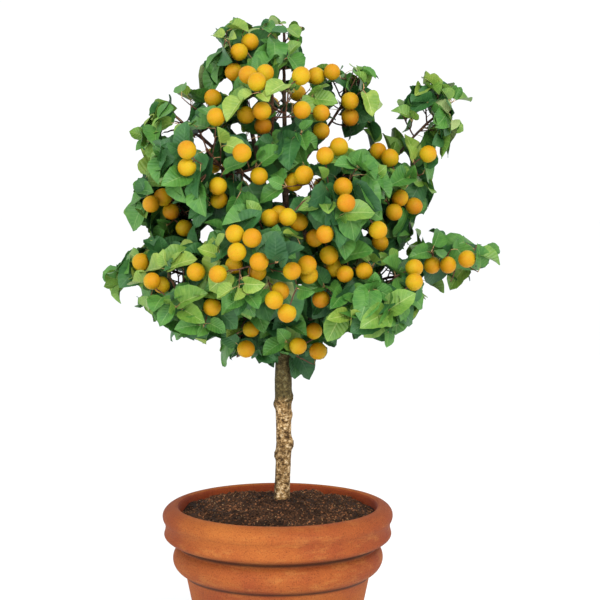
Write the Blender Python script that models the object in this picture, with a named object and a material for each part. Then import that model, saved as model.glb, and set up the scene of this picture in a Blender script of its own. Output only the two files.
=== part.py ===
"""A dwarf apricot tree in a clay pot: pot, soil, trunk, boughs and masses of leaf and fruit.

Metres, +Z up, +X to the right of the picture and +Y away from it. The origin is the middle of the
pot's flat underside. Every bough is one tapering limb, and every mass grows from its bough's tip by
one seeded rule: a stem, twigs round it, fruit under the twigs and leaves along them.
"""

import math
import random
from collections import namedtuple

import bmesh
import bpy
from mathutils import Vector
from mathutils.bvhtree import BVHTree

# Pot and soil
POT_HEIGHT = 0.380
MOUTH_RADIUS = 0.193
MOUTH_HEIGHT = 0.350
FOOT_RADIUS = 0.130
BODY_RADIUS = 0.181
BODY_HEIGHT = 0.247
INNER_HEIGHT = 0.240
WALL = 0.018
FLOOR = 0.022
DRAIN_RADIUS = 0.008
DRAIN_RING = 0.055
DRAIN_COUNT = 4
SOIL_EDGE = 0.360
SOIL_CROWN = 0.381
SOIL_LEVEL_RADIUS = 0.030
CLEAR = 0.0003
POT_SEGMENTS = 32

# A roll is an oval part of the pot's profile: its middle as radius and height, how far it reaches
# across and up, where it starts and ends in degrees, and its steps
Roll = namedtuple("Roll", "radius height across tall start end steps")
BAND = Roll(0.176, 0.2765, 0.0295, 0.0285, -62, 48, 4)
BEAD = Roll(0.192, 0.3240, 0.0300, 0.0145, -72, 38, 3)
RIM = Roll(0.199, 0.3590, 0.0260, 0.0210, -28, 90, 5)
LIP = Roll(0.201, 0.3720, 0.0080, 0.0080, 90, 180, 2)

# Trunk and boughs
TRUNK_FOOT = Vector((0.0075, 0.010, SOIL_CROWN + CLEAR))
TRUNK_TALL = 0.395
TRUNK_RADIUS = 0.0150
TRUNK_TOP_RADIUS = 0.0125
TRUNK_SIDES = 10
TRUNK_STEPS = 24
FLARE = 0.0030
FLARE_TALL = 0.012
COLLAR = 0.0018
COLLAR_HEIGHT = 0.235
COLLAR_TALL = 0.05
TAPER_SHARE = 0.7
LEAN = Vector((0.008, -0.004, 0.0))
LIMB_SIDES = 5
LIMB_STEPS = 4
BOUGH_REACH = 0.62
FORK_SHARE = 0.97
LOW_SHARES = (0.91, 0.83)
LEADER_SHARE = 0.22
SHOULDER_SHARES = {"right": 0.5, "back": 0.4, "left": 0.5, "front": 0.4}
# How thick a bough is where it leaves its carrier and at its tip
LEADER_THICK = (0.0088, 0.0036)
LOW_THICK = (0.0068, 0.0033)
MID_THICK = (0.0052, 0.0031)
SHOULDER_THICK = (0.0042, 0.0029)
SPRAY_THICK = (0.0032, 0.0026)
# The skirt's stems leave the trunk itself
SKIRT_SHARE = 0.80
SKIRT_THICK = 0.0034
# How far growth stays off the trunk and the boughs
TRUNK_ROOM = 0.004
BOUGH_ROOM = 0.0015

# Growth of one mass
STEM_STEPS = 2
STEM_SHORTEST = 0.03
STEM_SHARE = 0.9
STEM_TIP = 0.0026
TWIG_SIDES = 3
TWIG_STEPS = 1
TWIG_RADIUS = 0.0016
TWIG_TIP = 0.0014
TWIG_TRIES = 24
TWIG_TILTS = (42, 84)
TWIG_FIRST = 0.16
TWIG_SPAN = 0.66
TWIG_SHORTEST = 0.022
TWIG_LONGEST = 0.16
TWIG_ROOT = 0.006
TWIG_ROOM = 0.003
LEAF_LONG = 0.086
LEAF_WIDE = 0.072
LEAF_THICK = 0.0022
LEAF_BASE = 0.0010
LEAF_FREE = 0.004
LEAF_GAP = 0.025
LEAF_ROOM = 0.040
LEAF_TRIES = 36
LEAF_SPREAD = math.radians(66)
LEAF_FIRST = 0.15
LEAF_LAST = 0.90
LEAF_DROOP = 0.22
LEAF_LOOSE = 0.55
LEAF_SIZES = (0.90, 1.06)
TIP_LEAVES = 3
TIP_SPREAD = math.radians(52)
TIP_GAP = 0.004
FRUIT_RADIUS = 0.0195
FRUIT_SIDES = 5
FRUIT_RINGS = 4
FRUIT_APART = 2.04 * FRUIT_RADIUS
FRUIT_CLEAR = 0.0012
# Shares of its faces that a mass may keep, the first that leaves it closed being taken
THIN_SHARES = (0.75, 0.76, 0.74, 0.77, 0.73, 0.78, 0.80, 0.83, 0.87, 0.90)
SPACE_GAP = 0.0008
UP = Vector((0, 0, 1))

# A knot is the scar of a pruned shoot: height on the trunk, turn round it, how far it stands out, size
Knot = namedtuple("Knot", "height turn proud size")
KNOTS = (
    Knot(0.094, 180, 0.0034, 0.0075),
    Knot(0.116, -12, 0.0050, 0.0100),
    Knot(0.150, 110, 0.0035, 0.0080),
    Knot(0.173, 8, 0.0026, 0.0065),
    Knot(0.194, 188, 0.0036, 0.0075),
    Knot(0.208, 0, 0.0032, 0.0080),
    Knot(0.062, 75, 0.0030, 0.0070),
)

# A tier is a ring of masses: how many, height, spread to the sides and in depth, reach of one mass,
# twigs of one mass, fruit, and how much its twigs rise
Tier = namedtuple("Tier", "name count turn height stagger across deep reach twigs fruit rise")
TIERS = (
    Tier("skirt", 3, 215, 0.705, 0.0, 0.080, 0.075, (0.098, 0.098, 0.098), 4, 2, -0.15),
    Tier("low", 8, 0, 0.830, 0.036, 0.218, 0.215, (0.118, 0.112, 0.105), 5, 3, 0.00),
    Tier("mid", 6, 0, 1.000, 0.040, 0.190, 0.190, (0.122, 0.122, 0.112), 5, 3, 0.10),
    Tier("shoulder", 4, 0, 1.150, -0.018, 0.125, 0.125, (0.115, 0.115, 0.105), 5, 3, 0.15),
    Tier("top", 2, 0, 1.250, 0.0, 0.058, 0.030, (0.096, 0.105, 0.092), 5, 3, 0.25),
)
# What single masses stand off from their ring, for the crown's own outline
SHIFTS = {
    "skirt_left_front": (0.010, 0.0, 0.012),
    "skirt_right_front": (-0.044, -0.010, 0.012),
    "low_right": (0.012, 0.0, -0.030),
    "low_right_front": (0.014, 0.0, 0.002),
    "low_right_back": (0.020, 0.0, 0.004),
    "low_left": (0.016, 0.0, -0.030),
    "low_left_front": (0.0, 0.0, 0.010),
    "low_left_back": (0.0, 0.0, 0.010),
    "mid_right": (0.044, 0.0, -0.040),
    "mid_right_front": (0.020, 0.0, 0.004),
    "mid_right_back": (0.020, 0.0, 0.004),
    "mid_left": (0.006, 0.0, -0.004),
    "shoulder_left": (-0.034, 0.0, -0.034),
    "shoulder_right": (0.014, 0.0, 0.030),
    "shoulder_front": (0.012, 0.0, -0.030),
    "shoulder_back": (0.006, 0.0, -0.016),
    "top_right": (-0.034, 0.0, 0.004),
    "top_left": (-0.006, 0.0, -0.008),
}
# Two sprays stand out past the ring on the right
Spray = namedtuple("Spray", "name carrier share centre reach twigs fruit rise")
SPRAYS = (
    Spray("low_spray", "low_right", 0.62, (0.338, -0.035, 0.857), (0.096, 0.084, 0.082), 5, 3, 0.1),
    Spray("high_spray", "mid_right", 0.55, (0.290, 0.000, 1.122), (0.088, 0.086, 0.090), 5, 1, 0.3),
)
CROWN_MIDDLE = Vector((-0.010, 0.005, 0.930))
JITTER = 0.012

Limb = namedtuple("Limb", "name path radii")
Mass = namedtuple("Mass", "name centre reach twigs fruit rise seed")


# Meshes and materials
def material(name, colour, roughness):
    made = bpy.data.materials.new(name)
    made.use_nodes = True
    shader = made.node_tree.nodes["Principled BSDF"]
    shader.inputs["Base Color"].default_value = (*colour, 1)
    shader.inputs["Roughness"].default_value = roughness
    shader.inputs["Metallic"].default_value = 0
    return made


def add_object(name, points, faces, paint, smooth=True):
    mesh = bpy.data.meshes.new(name)
    mesh.from_pydata([tuple(p) for p in points], [], faces)
    mesh.materials.append(paint)
    if smooth:
        mesh.shade_smooth()
        mesh.set_sharp_from_angle(angle=math.radians(40))
    made = bpy.data.objects.new(name, mesh)
    bpy.context.scene.collection.objects.link(made)
    return made


def tube(path, radii, sides, swell=0.0):
    """Points and faces of a tapering limb along a path, with flat ends square to it."""
    points, faces = [], []
    across = path[1] - path[0]
    side = across.orthogonal().normalized()
    for i, centre in enumerate(path):
        ahead = path[min(i + 1, len(path) - 1)] - path[max(i - 1, 0)]
        ahead.normalize()
        side = (side - ahead * side.dot(ahead)).normalized()
        over = ahead.cross(side)
        for k in range(sides):
            turn = math.tau * k / sides
            radius = radii[i] + swell
            points.append(centre + (side * math.cos(turn) + over * math.sin(turn)) * radius)
    for i in range(len(path) - 1):
        for k in range(sides):
            a, b = i * sides + k, i * sides + (k + 1) % sides
            faces.append((a, b, b + sides, a + sides))
    faces.append(tuple(reversed(range(sides))))
    faces.append(tuple(range(len(points) - sides, len(points))))
    return points, faces


def boolean(target, operation, solver, operand):
    """Joins or cuts target by an object or by every object of a collection, and applies it."""
    modifier = target.modifiers.new(operation.lower(), "BOOLEAN")
    modifier.operation = operation
    modifier.solver = solver
    if isinstance(operand, bpy.types.Collection):
        modifier.operand_type = "COLLECTION"
        modifier.collection = operand
    else:
        modifier.object = operand
    graph = bpy.context.evaluated_depsgraph_get()
    result = bpy.data.meshes.new_from_object(target.evaluated_get(graph))
    target.modifiers.clear()
    target.data = result


def is_closed(mesh):
    """Whether every edge has two faces and every corner one fan of them."""
    work = bmesh.new()
    work.from_mesh(mesh)
    whole = all(e.is_manifold for e in work.edges) and all(v.is_manifold for v in work.verts)
    work.free()
    return whole


def thin_out(target):
    """Drops the faces that change the shape least, by the first share that leaves it closed."""
    for share in THIN_SHARES:
        modifier = target.modifiers.new("thin", "DECIMATE")
        modifier.ratio = share
        modifier.use_collapse_triangulate = True
        graph = bpy.context.evaluated_depsgraph_get()
        result = bpy.data.meshes.new_from_object(target.evaluated_get(graph))
        target.modifiers.clear()
        if is_closed(result):
            target.data = result
            return


def keep_main_body(target):
    """Drops loose scraps, and the inner shells of hollows that a union has sealed."""
    work = bmesh.new()
    work.from_mesh(target.data)
    todo, islands = set(work.faces), []
    while todo:
        island, edge = set(), [todo.pop()]
        while edge:
            face = edge.pop()
            island.add(face)
            for near in (f for e in face.edges for f in e.link_faces):
                if near in todo:
                    todo.remove(near)
                    edge.append(near)
        islands.append(island)
    main = max(islands, key=lambda island: sum(f.calc_area() for f in island))
    spare = [f for island in islands if island is not main for f in island]
    bmesh.ops.delete(work, geom=spare, context="FACES")
    work.to_mesh(target.data)
    work.free()


def turned(name, profile, segments, paint):
    """A closed solid turned round the Z axis from a closed profile of (radius, height)."""
    work = bmesh.new()
    rings = []
    for k in range(segments):
        turn = math.tau * k / segments
        rings.append(
            [work.verts.new((r * math.cos(turn), r * math.sin(turn), z)) for r, z in profile]
        )
    for k in range(segments):
        here, there = rings[k], rings[(k + 1) % segments]
        for i in range(len(profile) - 1):
            work.faces.new((here[i], there[i], there[i + 1], here[i + 1]))
    bmesh.ops.remove_doubles(work, verts=work.verts, dist=0.0001)
    bmesh.ops.dissolve_degenerate(work, edges=work.edges, dist=0.0001)
    bmesh.ops.recalc_face_normals(work, faces=work.faces)
    mesh = bpy.data.meshes.new(name)
    work.to_mesh(mesh)
    work.free()
    mesh.materials.append(paint)
    mesh.shade_smooth()
    mesh.set_sharp_from_angle(angle=math.radians(40))
    made = bpy.data.objects.new(name, mesh)
    bpy.context.scene.collection.objects.link(made)
    return made


# Pot and soil
def roll_points(roll):
    """The roll's points in the profile plane."""
    turns = [
        math.radians(roll.start + (roll.end - roll.start) * i / roll.steps)
        for i in range(roll.steps + 1)
    ]
    return [
        (roll.radius + roll.across * math.cos(t), roll.height + roll.tall * math.sin(t))
        for t in turns
    ]


def wall_radius(height, inset=0.0):
    """Radius of the tapering body at a height, less an inset."""
    return FOOT_RADIUS + (BODY_RADIUS - FOOT_RADIUS) * height / BODY_HEIGHT - inset


def pot_profile():
    rolls = [point for roll in (BAND, BEAD, RIM, LIP) for point in roll_points(roll)]
    outside = [(0.0, 0.0), (FOOT_RADIUS, 0.0), (wall_radius(BODY_HEIGHT), BODY_HEIGHT)]
    inside = [
        (MOUTH_RADIUS - 0.001, MOUTH_HEIGHT),
        (wall_radius(BODY_HEIGHT, WALL), INNER_HEIGHT),
        (wall_radius(FLOOR, WALL), FLOOR),
        (0.0, FLOOR),
    ]
    return outside + rolls + inside


def make_pot(paint):
    pot = turned("pot", pot_profile(), POT_SEGMENTS, paint)
    drill_sides = 8
    for k in range(DRAIN_COUNT):
        turn = math.tau * (k + 0.5) / DRAIN_COUNT
        middle = Vector((math.cos(turn), math.sin(turn), 0)) * DRAIN_RING
        path = [middle - UP * FLOOR, middle + UP * FLOOR * 2]
        drill = add_object("drill", *tube(path, [DRAIN_RADIUS] * 2, drill_sides), paint)
        boolean(pot, "DIFFERENCE", "EXACT", drill)
        bpy.data.objects.remove(drill)
    pot.data.materials.clear()
    pot.data.materials.append(paint)
    return pot


def soil_height(radius):
    """The soil is mounded to the trunk, with a small level place for the trunk's foot."""
    share = max(0.0, (radius - SOIL_LEVEL_RADIUS) / (MOUTH_RADIUS - SOIL_LEVEL_RADIUS))
    return SOIL_CROWN - (SOIL_CROWN - SOIL_EDGE) * share**1.6


def make_soil(paint):
    bottom = FLOOR + CLEAR
    inset = WALL + 3 * CLEAR
    edge = MOUTH_RADIUS - 0.001 - 3 * CLEAR
    rings = (0.178, 0.120, 0.075, SOIL_LEVEL_RADIUS, 0.0)
    profile = [
        (0.0, bottom),
        (wall_radius(bottom, inset), bottom),
        (wall_radius(BODY_HEIGHT, inset), INNER_HEIGHT),
        (edge, MOUTH_HEIGHT),
        (edge, soil_height(MOUTH_RADIUS)),
    ]
    profile += [(r, soil_height(r)) for r in rings]
    return turned("soil", profile, POT_SEGMENTS, paint)


# Trunk and boughs
def trunk_point(share):
    sway = Vector((0.0018 * math.sin(share * 7.0), 0.0025 * math.sin(share * 5.0 + 1.0), 0))
    sway *= min(1.0, share * 4)
    return TRUNK_FOOT + LEAN * share + UP * TRUNK_TALL * share + sway


def trunk_radius(share):
    tall = share * TRUNK_TALL
    flare = FLARE * math.exp(-tall / FLARE_TALL)
    collar = COLLAR * math.exp(-(((tall - COLLAR_HEIGHT) / COLLAR_TALL) ** 2))
    thinned = max(0.0, share - TAPER_SHARE) / (1 - TAPER_SHARE)
    taper = TRUNK_RADIUS + (TRUNK_TOP_RADIUS - TRUNK_RADIUS) * thinned
    return taper + flare + collar


def knot_swell(centre, point):
    """How far the bark stands out at a point because of the knots near it."""
    proud = 0.0
    for knot in KNOTS:
        turn = math.radians(knot.turn)
        out = Vector((math.cos(turn), math.sin(turn), 0))
        seat = centre + out * TRUNK_RADIUS
        seat.z = TRUNK_FOOT.z + knot.height
        away = (point - seat).length / knot.size
        proud += knot.proud * math.exp(-away * away)
    return proud


def make_trunk(paint):
    path = [trunk_point(i / TRUNK_STEPS) for i in range(TRUNK_STEPS + 1)]
    radii = [trunk_radius(i / TRUNK_STEPS) for i in range(TRUNK_STEPS + 1)]
    points, faces = tube(path, radii, TRUNK_SIDES)
    for i, point in enumerate(points):
        ring = i // TRUNK_SIDES
        out = (point - path[ring]).normalized()
        points[i] = point + out * knot_swell(path[ring], point)
    for i in range(TRUNK_SIDES):
        points[i].z = TRUNK_FOOT.z
    add_object("trunk", points, faces, paint)
    return Limb("trunk", path, radii)


def along(limb, share):
    """Point and heading at a share of a limb's length."""
    place = share * (len(limb.path) - 1)
    i = min(int(place), len(limb.path) - 2)
    step = limb.path[i + 1] - limb.path[i]
    return limb.path[i] + step * (place - i), step.normalized()


def bend(start, leave, end, arrive, steps):
    """A smooth limb that leaves one way and arrives another."""
    span = (end - start).length * 0.38
    a, b = start + leave.normalized() * span, end - arrive.normalized() * span
    path = []
    for i in range(steps + 1):
        t = i / steps
        s = 1 - t
        path.append(start * s**3 + a * 3 * s * s * t + b * 3 * s * t * t + end * t**3)
    return path


def bough_to(mass, carrier, share, thickness):
    """The limb from a place on its carrier to where it enters the mass."""
    thick, thin = thickness
    start, heading = along(carrier, share)
    inward = (start - mass.centre).normalized()
    tip = mass.centre + Vector(a * b for a, b in zip(inward, mass.reach)) * BOUGH_REACH
    out = (tip - start).normalized()
    leave = heading * 0.55 + out * 0.9
    arrive = (mass.centre - tip).normalized() * 0.8 + out * 0.5 + UP * 0.15
    path = bend(start, leave, tip, arrive, LIMB_STEPS)
    radii = [thick + (thin - thick) * (i / LIMB_STEPS) ** 0.8 for i in range(LIMB_STEPS + 1)]
    return Limb(mass.name + "_bough", path, radii)


def make_bough(limb, paint, others):
    """The bough's solid, cut clear of the limbs that it leaves or passes."""
    made = add_object(limb.name, *tube(limb.path, limb.radii, LIMB_SIDES), paint)
    own = BVHTree.FromPolygons(*tube(limb.path, limb.radii, LIMB_SIDES))
    for other in others:
        sides = TRUNK_SIDES if other.name == "trunk" else LIMB_SIDES
        points, faces = tube(other.path, other.radii, sides, swell=CLEAR * 1.3)
        if not own.overlap(BVHTree.FromPolygons(points, faces)):
            continue
        cutter = add_object("cutter", points, faces, paint)
        boolean(made, "DIFFERENCE", "EXACT", cutter)
        bpy.data.objects.remove(cutter)
    keep_main_body(made)
    return made


# The space of a mass
def compass(turn):
    """A plain name for a direction round the trunk."""
    c, s = math.cos(turn), math.sin(turn)
    side = "right" if c > 0.4 else "left" if c < -0.4 else ""
    depth = "back" if s > 0.4 else "front" if s < -0.4 else ""
    return "_".join(word for word in (side, depth) if word)


def plan_masses():
    """Every mass with its own centre and reach, tier by tier, then the two sprays."""
    masses = []
    for tier in TIERS:
        for k in range(tier.count):
            turn = math.radians(tier.turn + 360 * k / tier.count)
            dice = random.Random(f"{tier.name}{k}")
            shift = Vector(dice.uniform(-JITTER, JITTER) for _ in range(3))
            ring = Vector((math.cos(turn) * tier.across, math.sin(turn) * tier.deep, 0))
            height = tier.height + tier.stagger * (-1) ** k
            centre = Vector((CROWN_MIDDLE.x, CROWN_MIDDLE.y, height)) + ring + shift
            name = f"{tier.name}_{compass(turn)}"
            centre += Vector(SHIFTS.get(name, (0, 0, 0)))
            seed = len(masses)
            masses.append(
                Mass(name, centre, Vector(tier.reach), tier.twigs, tier.fruit, tier.rise, seed)
            )
    for spray in SPRAYS:
        centre, reach = Vector(spray.centre), Vector(spray.reach)
        seed = len(masses)
        masses.append(Mass(spray.name, centre, reach, spray.twigs, spray.fruit, spray.rise, seed))
    return masses


def inside(mass, masses, point, margin):
    """Whether a point is in the mass's oval and nearer to it than to any other mass."""
    offset = point - mass.centre
    oval = sum((o / (r - margin)) ** 2 for o, r in zip(offset, mass.reach))
    if oval > 1:
        return False
    for other in masses:
        if other is mass:
            continue
        apart = other.centre - mass.centre
        span = apart.length
        if offset.dot(apart) / span > span / 2 - margin:
            return False
    return True


def room(mass, masses, point, heading):
    """How far a shoot can go from a point before it leaves the mass's space."""
    step = 0.004
    far = 0.0
    while far < TWIG_LONGEST and inside(mass, masses, point + heading * (far + step), SPACE_GAP):
        far += step
    return far


# Stem, twigs, fruit and leaves of a mass
def shoot(start, heading, length, rise, steps):
    """A twig's line: it sets off along its heading and bends up or down by its rise."""
    path = []
    for i in range(steps + 1):
        t = i / steps
        path.append(start + heading * length * t + UP * length * rise * t * t)
    return path


def turned_about(heading, tilt, turn):
    """A direction that leans away from a heading by tilt, at a turn round it."""
    side = heading.orthogonal().normalized()
    over = heading.cross(side)
    radial = side * math.cos(turn) + over * math.sin(turn)
    return (heading * math.cos(tilt) + radial * math.sin(tilt)).normalized()


def grow_twigs(mass, masses, start, heading, thick, blocked):
    """The stem and the twigs round it, as limbs. The stem is the first."""
    dice = random.Random(f"twigs{mass.seed}")
    outward = mass.centre - CROWN_MIDDLE
    onward = ((mass.centre - start).normalized() * 0.8 + outward.normalized() * 0.5).normalized()
    long = max(STEM_SHORTEST, room(mass, masses, mass.centre, onward) - LEAF_ROOM)
    end = mass.centre + onward * long
    path = bend(start, heading, end, onward, STEM_STEPS)
    radii = [thick + (STEM_TIP - thick) * i / STEM_STEPS for i in range(STEM_STEPS + 1)]
    limbs = [Limb("stem", path, radii)]
    for k in range(mass.twigs):
        share = TWIG_FIRST + TWIG_SPAN * k / max(1, mass.twigs - 1)
        point, ahead = along(limbs[0], share)
        best, widest = None, 0.0
        for _ in range(TWIG_TRIES):
            tilt = math.radians(dice.uniform(*TWIG_TILTS))
            way = turned_about(ahead, tilt, dice.uniform(0, math.tau))
            free = room(mass, masses, point, way) - LEAF_ROOM
            if free < TWIG_SHORTEST:
                continue
            line = shoot(point, way, free, mass.rise, TWIG_STEPS)
            apart = min((line[-1] - limb.path[-1]).length for limb in limbs)
            free_part = [line[0] + way * TWIG_ROOT, line[-1]]
            around = BVHTree.FromPolygons(*tube(free_part, [TWIG_ROOM] * 2, TWIG_SIDES))
            if apart > widest and not around.overlap(blocked):
                best, widest = line, apart
        if best:
            limbs.append(Limb("twig", best, [TWIG_RADIUS, TWIG_TIP]))
    return limbs


def ball(centre, pole, around, rings):
    """A round solid of few faces, with one of its poles at a given point."""
    up = (pole - centre).normalized()
    side = up.orthogonal().normalized()
    over = up.cross(side)
    radius = (pole - centre).length
    points = [pole]
    for i in range(1, rings):
        slope = math.pi * i / rings
        for k in range(around):
            turn = math.tau * (k + 0.5 * (i % 2)) / around
            flat = (side * math.cos(turn) + over * math.sin(turn)) * math.sin(slope)
            points.append(centre + (flat + up * math.cos(slope)) * radius)
    points.append(centre - up * radius)
    faces = [(0, 1 + k, 1 + (k + 1) % around) for k in range(around)]
    for i in range(rings - 2):
        low, high = 1 + (i + 1) * around, 1 + i * around
        for k in range(around):
            near = (k + 1) % around
            faces.append((high + k, low + k, low + near, high + near))
    last, ring = len(points) - 1, 1 + (rings - 2) * around
    faces += [(last, ring + (k + 1) % around, ring + k) for k in range(around)]
    return points, faces


def grow_fruit(mass, masses, limbs, blocked):
    """Where the fruit hangs: (place on the twig, centre), in twos and threes on the outer twigs."""
    dice = random.Random(f"fruit{mass.seed}")
    outward = (mass.centre - CROWN_MIDDLE).normalized()
    outer = sorted(limbs, key=lambda limb: -(limb.path[-1] - mass.centre).dot(outward))
    fruit = []
    for limb in outer * 2:
        share = dice.uniform(0.35, 0.75)
        for k in range(3):
            if len(fruit) >= mass.fruit:
                return fruit
            seat, ahead = along(limb, min(0.92, share + 0.16 * k))
            side = ahead.cross(UP).normalized() * (1 if (k + mass.seed) % 2 else -1)
            hang = (outward * 0.45 + side * 0.75 - UP * 0.65).normalized()
            centre = seat + hang * FRUIT_RADIUS
            apart = all((centre - c).length > FRUIT_APART for _, c in fruit)
            fits = inside(mass, masses, centre, FRUIT_RADIUS + SPACE_GAP)
            clear = blocked.find_nearest(centre)[3] > FRUIT_RADIUS + FRUIT_CLEAR
            if apart and fits and clear:
                fruit.append((seat, centre))
    return fruit


def leaf_solid(base, along_leaf, facing, long, wide):
    """A folded blade of eight faces with a blunt root, widest at its middle."""
    ahead = along_leaf.normalized()
    over = (facing - ahead * facing.dot(ahead)).normalized()
    side = over.cross(ahead)
    fold, arch = over * wide * 0.13, over * long * 0.06
    middle = base + ahead * long * 0.50
    left = middle + side * wide / 2 + fold
    right = middle - side * wide / 2 + fold
    tip = base + ahead * long - arch
    root_low, root_high = base - over * LEAF_BASE / 2, base + over * LEAF_BASE / 2
    ridge = middle + over * LEAF_THICK
    points = [root_low, root_high, left, right, tip, ridge]
    faces = [
        (1, 5, 2),
        (2, 5, 4),
        (4, 5, 3),
        (3, 5, 1),
        (0, 2, 4),
        (0, 4, 3),
        (0, 1, 2),
        (0, 3, 1),
    ]
    return points, faces


def leaf_nodes(limb):
    """Where leaves leave a limb, as shares of its length, and how widely each spreads from it."""
    long_limb = sum((b - a).length for a, b in zip(limb.path, limb.path[1:]))
    nodes = [(1 - TIP_GAP * (k + 1) / long_limb, TIP_SPREAD) for k in range(TIP_LEAVES)]
    count = int(long_limb * (1 - LEAF_FIRST) / LEAF_GAP + 0.5)
    for k in range(count):
        share = LEAF_FIRST + (LEAF_LAST - LEAF_FIRST) * (k + 0.5) / count
        nodes.append((share, LEAF_SPREAD))
    return nodes


def try_leaf(dice, seat, ahead, spread, attempt):
    """One way that a leaf could leave its seat: where it points, its length and its solid."""
    outward = (seat - CROWN_MIDDLE).normalized()
    tilt = spread + math.radians(dice.uniform(-12, 16))
    way = turned_about(ahead, tilt, math.tau * (attempt + 0.5) / TWIG_SIDES)
    way = (way - UP * LEAF_DROOP).normalized()
    loose = Vector(dice.uniform(-1, 1) for _ in range(3))
    facing = UP * 0.4 + outward * 0.5 + loose * LEAF_LOOSE
    size = dice.uniform(*LEAF_SIZES) * (1 - 0.25 * attempt / LEAF_TRIES)
    points, faces = leaf_solid(seat, way, facing, LEAF_LONG * size, LEAF_WIDE * size)
    return way, LEAF_LONG * size, points, faces


def grow_leaves(mass, masses, limbs, fruit, blocked):
    """The leaves as solids. Of the ways that fit at a node, the one with most air is taken."""
    dice = random.Random(f"leaves{mass.seed}")
    standing = [BVHTree.FromPolygons(*ball(c, s, FRUIT_SIDES, FRUIT_RINGS)) for s, c in fruit]
    standing += [BVHTree.FromPolygons(*tube(limb.path, limb.radii, TWIG_SIDES)) for limb in limbs]
    middles = [centre for _, centre in fruit]
    leaves = []
    nodes = [(limb, share, spread) for limb in limbs for share, spread in leaf_nodes(limb)]
    for limb, share, spread in nodes:
        seat, ahead = along(limb, share)
        best, widest = None, 0.0
        for attempt in range(LEAF_TRIES):
            way, long, points, faces = try_leaf(dice, seat, ahead, spread, attempt)
            if not all(inside(mass, masses, p, SPACE_GAP) for p in points):
                continue
            middle = seat + way * long * 0.6
            apart = min((middle - other).length for other in middles)
            if apart <= widest:
                continue
            whole = BVHTree.FromPolygons(points, faces)
            roots = [p + way * LEAF_FREE for p in points[:2]]
            free = BVHTree.FromPolygons(roots + points[2:], faces)
            if whole.overlap(blocked) or any(free.overlap(other) for other in standing):
                continue
            best, widest = (points, faces, free, middle), apart
        if best:
            leaves.append(best[:2])
            standing.append(best[2])
            middles.append(best[3])
    return leaves


def stem_start(mass, carrier, trunk):
    """Where a mass's stem starts, its heading and thickness. Without a bough it leaves the trunk."""
    if carrier is None:
        start, _ = along(trunk, SKIRT_SHARE)
        return start, (mass.centre - start).normalized(), SKIRT_THICK
    heading = (carrier.path[-1] - carrier.path[-2]).normalized()
    return carrier.path[-1] + heading * CLEAR, heading, carrier.radii[-1] * STEM_SHARE


def make_mass(mass, masses, carrier, trunk, blocked, paint):
    """One solid of stem, twigs, fruit and leaves."""
    start, heading, thick = stem_start(mass, carrier, trunk)
    limbs = grow_twigs(mass, masses, start, heading, thick, blocked)
    fruit = grow_fruit(mass, masses, limbs, blocked)
    leaves = grow_leaves(mass, masses, limbs, fruit, blocked)
    points, faces = tube(limbs[0].path, limbs[0].radii, TWIG_SIDES)
    made = add_object(mass.name + "_foliage", points, faces, paint, False)
    if carrier is None:
        points, faces = tube(trunk.path, trunk.radii, TRUNK_SIDES, CLEAR * 1.3)
        around = add_object("cutter", points, faces, paint)
        boolean(made, "DIFFERENCE", "EXACT", around)
        bpy.data.objects.remove(around)
        keep_main_body(made)
    growth = bpy.data.collections.new(mass.name)
    bpy.context.scene.collection.children.link(growth)
    solids = [tube(limb.path, limb.radii, TWIG_SIDES) for limb in limbs[1:]]
    solids += leaves
    solids += [ball(centre, seat, FRUIT_SIDES, FRUIT_RINGS) for seat, centre in fruit]
    for points, faces in solids:
        piece = add_object("growth", points, faces, paint, False)
        bpy.context.scene.collection.objects.unlink(piece)
        growth.objects.link(piece)
    boolean(made, "UNION", "MANIFOLD", growth)
    for piece in list(growth.objects):
        bpy.data.objects.remove(piece)
    bpy.data.collections.remove(growth)
    keep_main_body(made)
    thin_out(made)
    return len(leaves), len(fruit)


def plan_boughs(masses, trunk):
    """Which limb carries each mass, from where, and how thick it is."""
    named = {mass.name: mass for mass in masses}
    limbs = {"trunk": trunk}

    def add(mass_name, carrier, share, thickness):
        limbs[mass_name] = bough_to(named[mass_name], limbs[carrier], share, thickness)

    add("top_left", "trunk", FORK_SHARE, LEADER_THICK)
    add("top_right", "trunk", FORK_SHARE, LEADER_THICK)
    low = [m.name for m in masses if m.name.startswith("low_") and "spray" not in m.name]
    for k, name in enumerate(low):
        add(name, "trunk", LOW_SHARES[k % 2], LOW_THICK)
    for name in (m.name for m in masses if m.name.startswith("mid_")):
        add(name, "top_right" if "right" in name else "top_left", LEADER_SHARE, MID_THICK)
    for name, share in SHOULDER_SHARES.items():
        carrier = "top_right" if name in ("right", "back") else "top_left"
        add("shoulder_" + name, carrier, share, SHOULDER_THICK)
    for spray in SPRAYS:
        add(spray.name, spray.carrier, spray.share, SPRAY_THICK)
    del limbs["trunk"]
    return limbs


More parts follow.
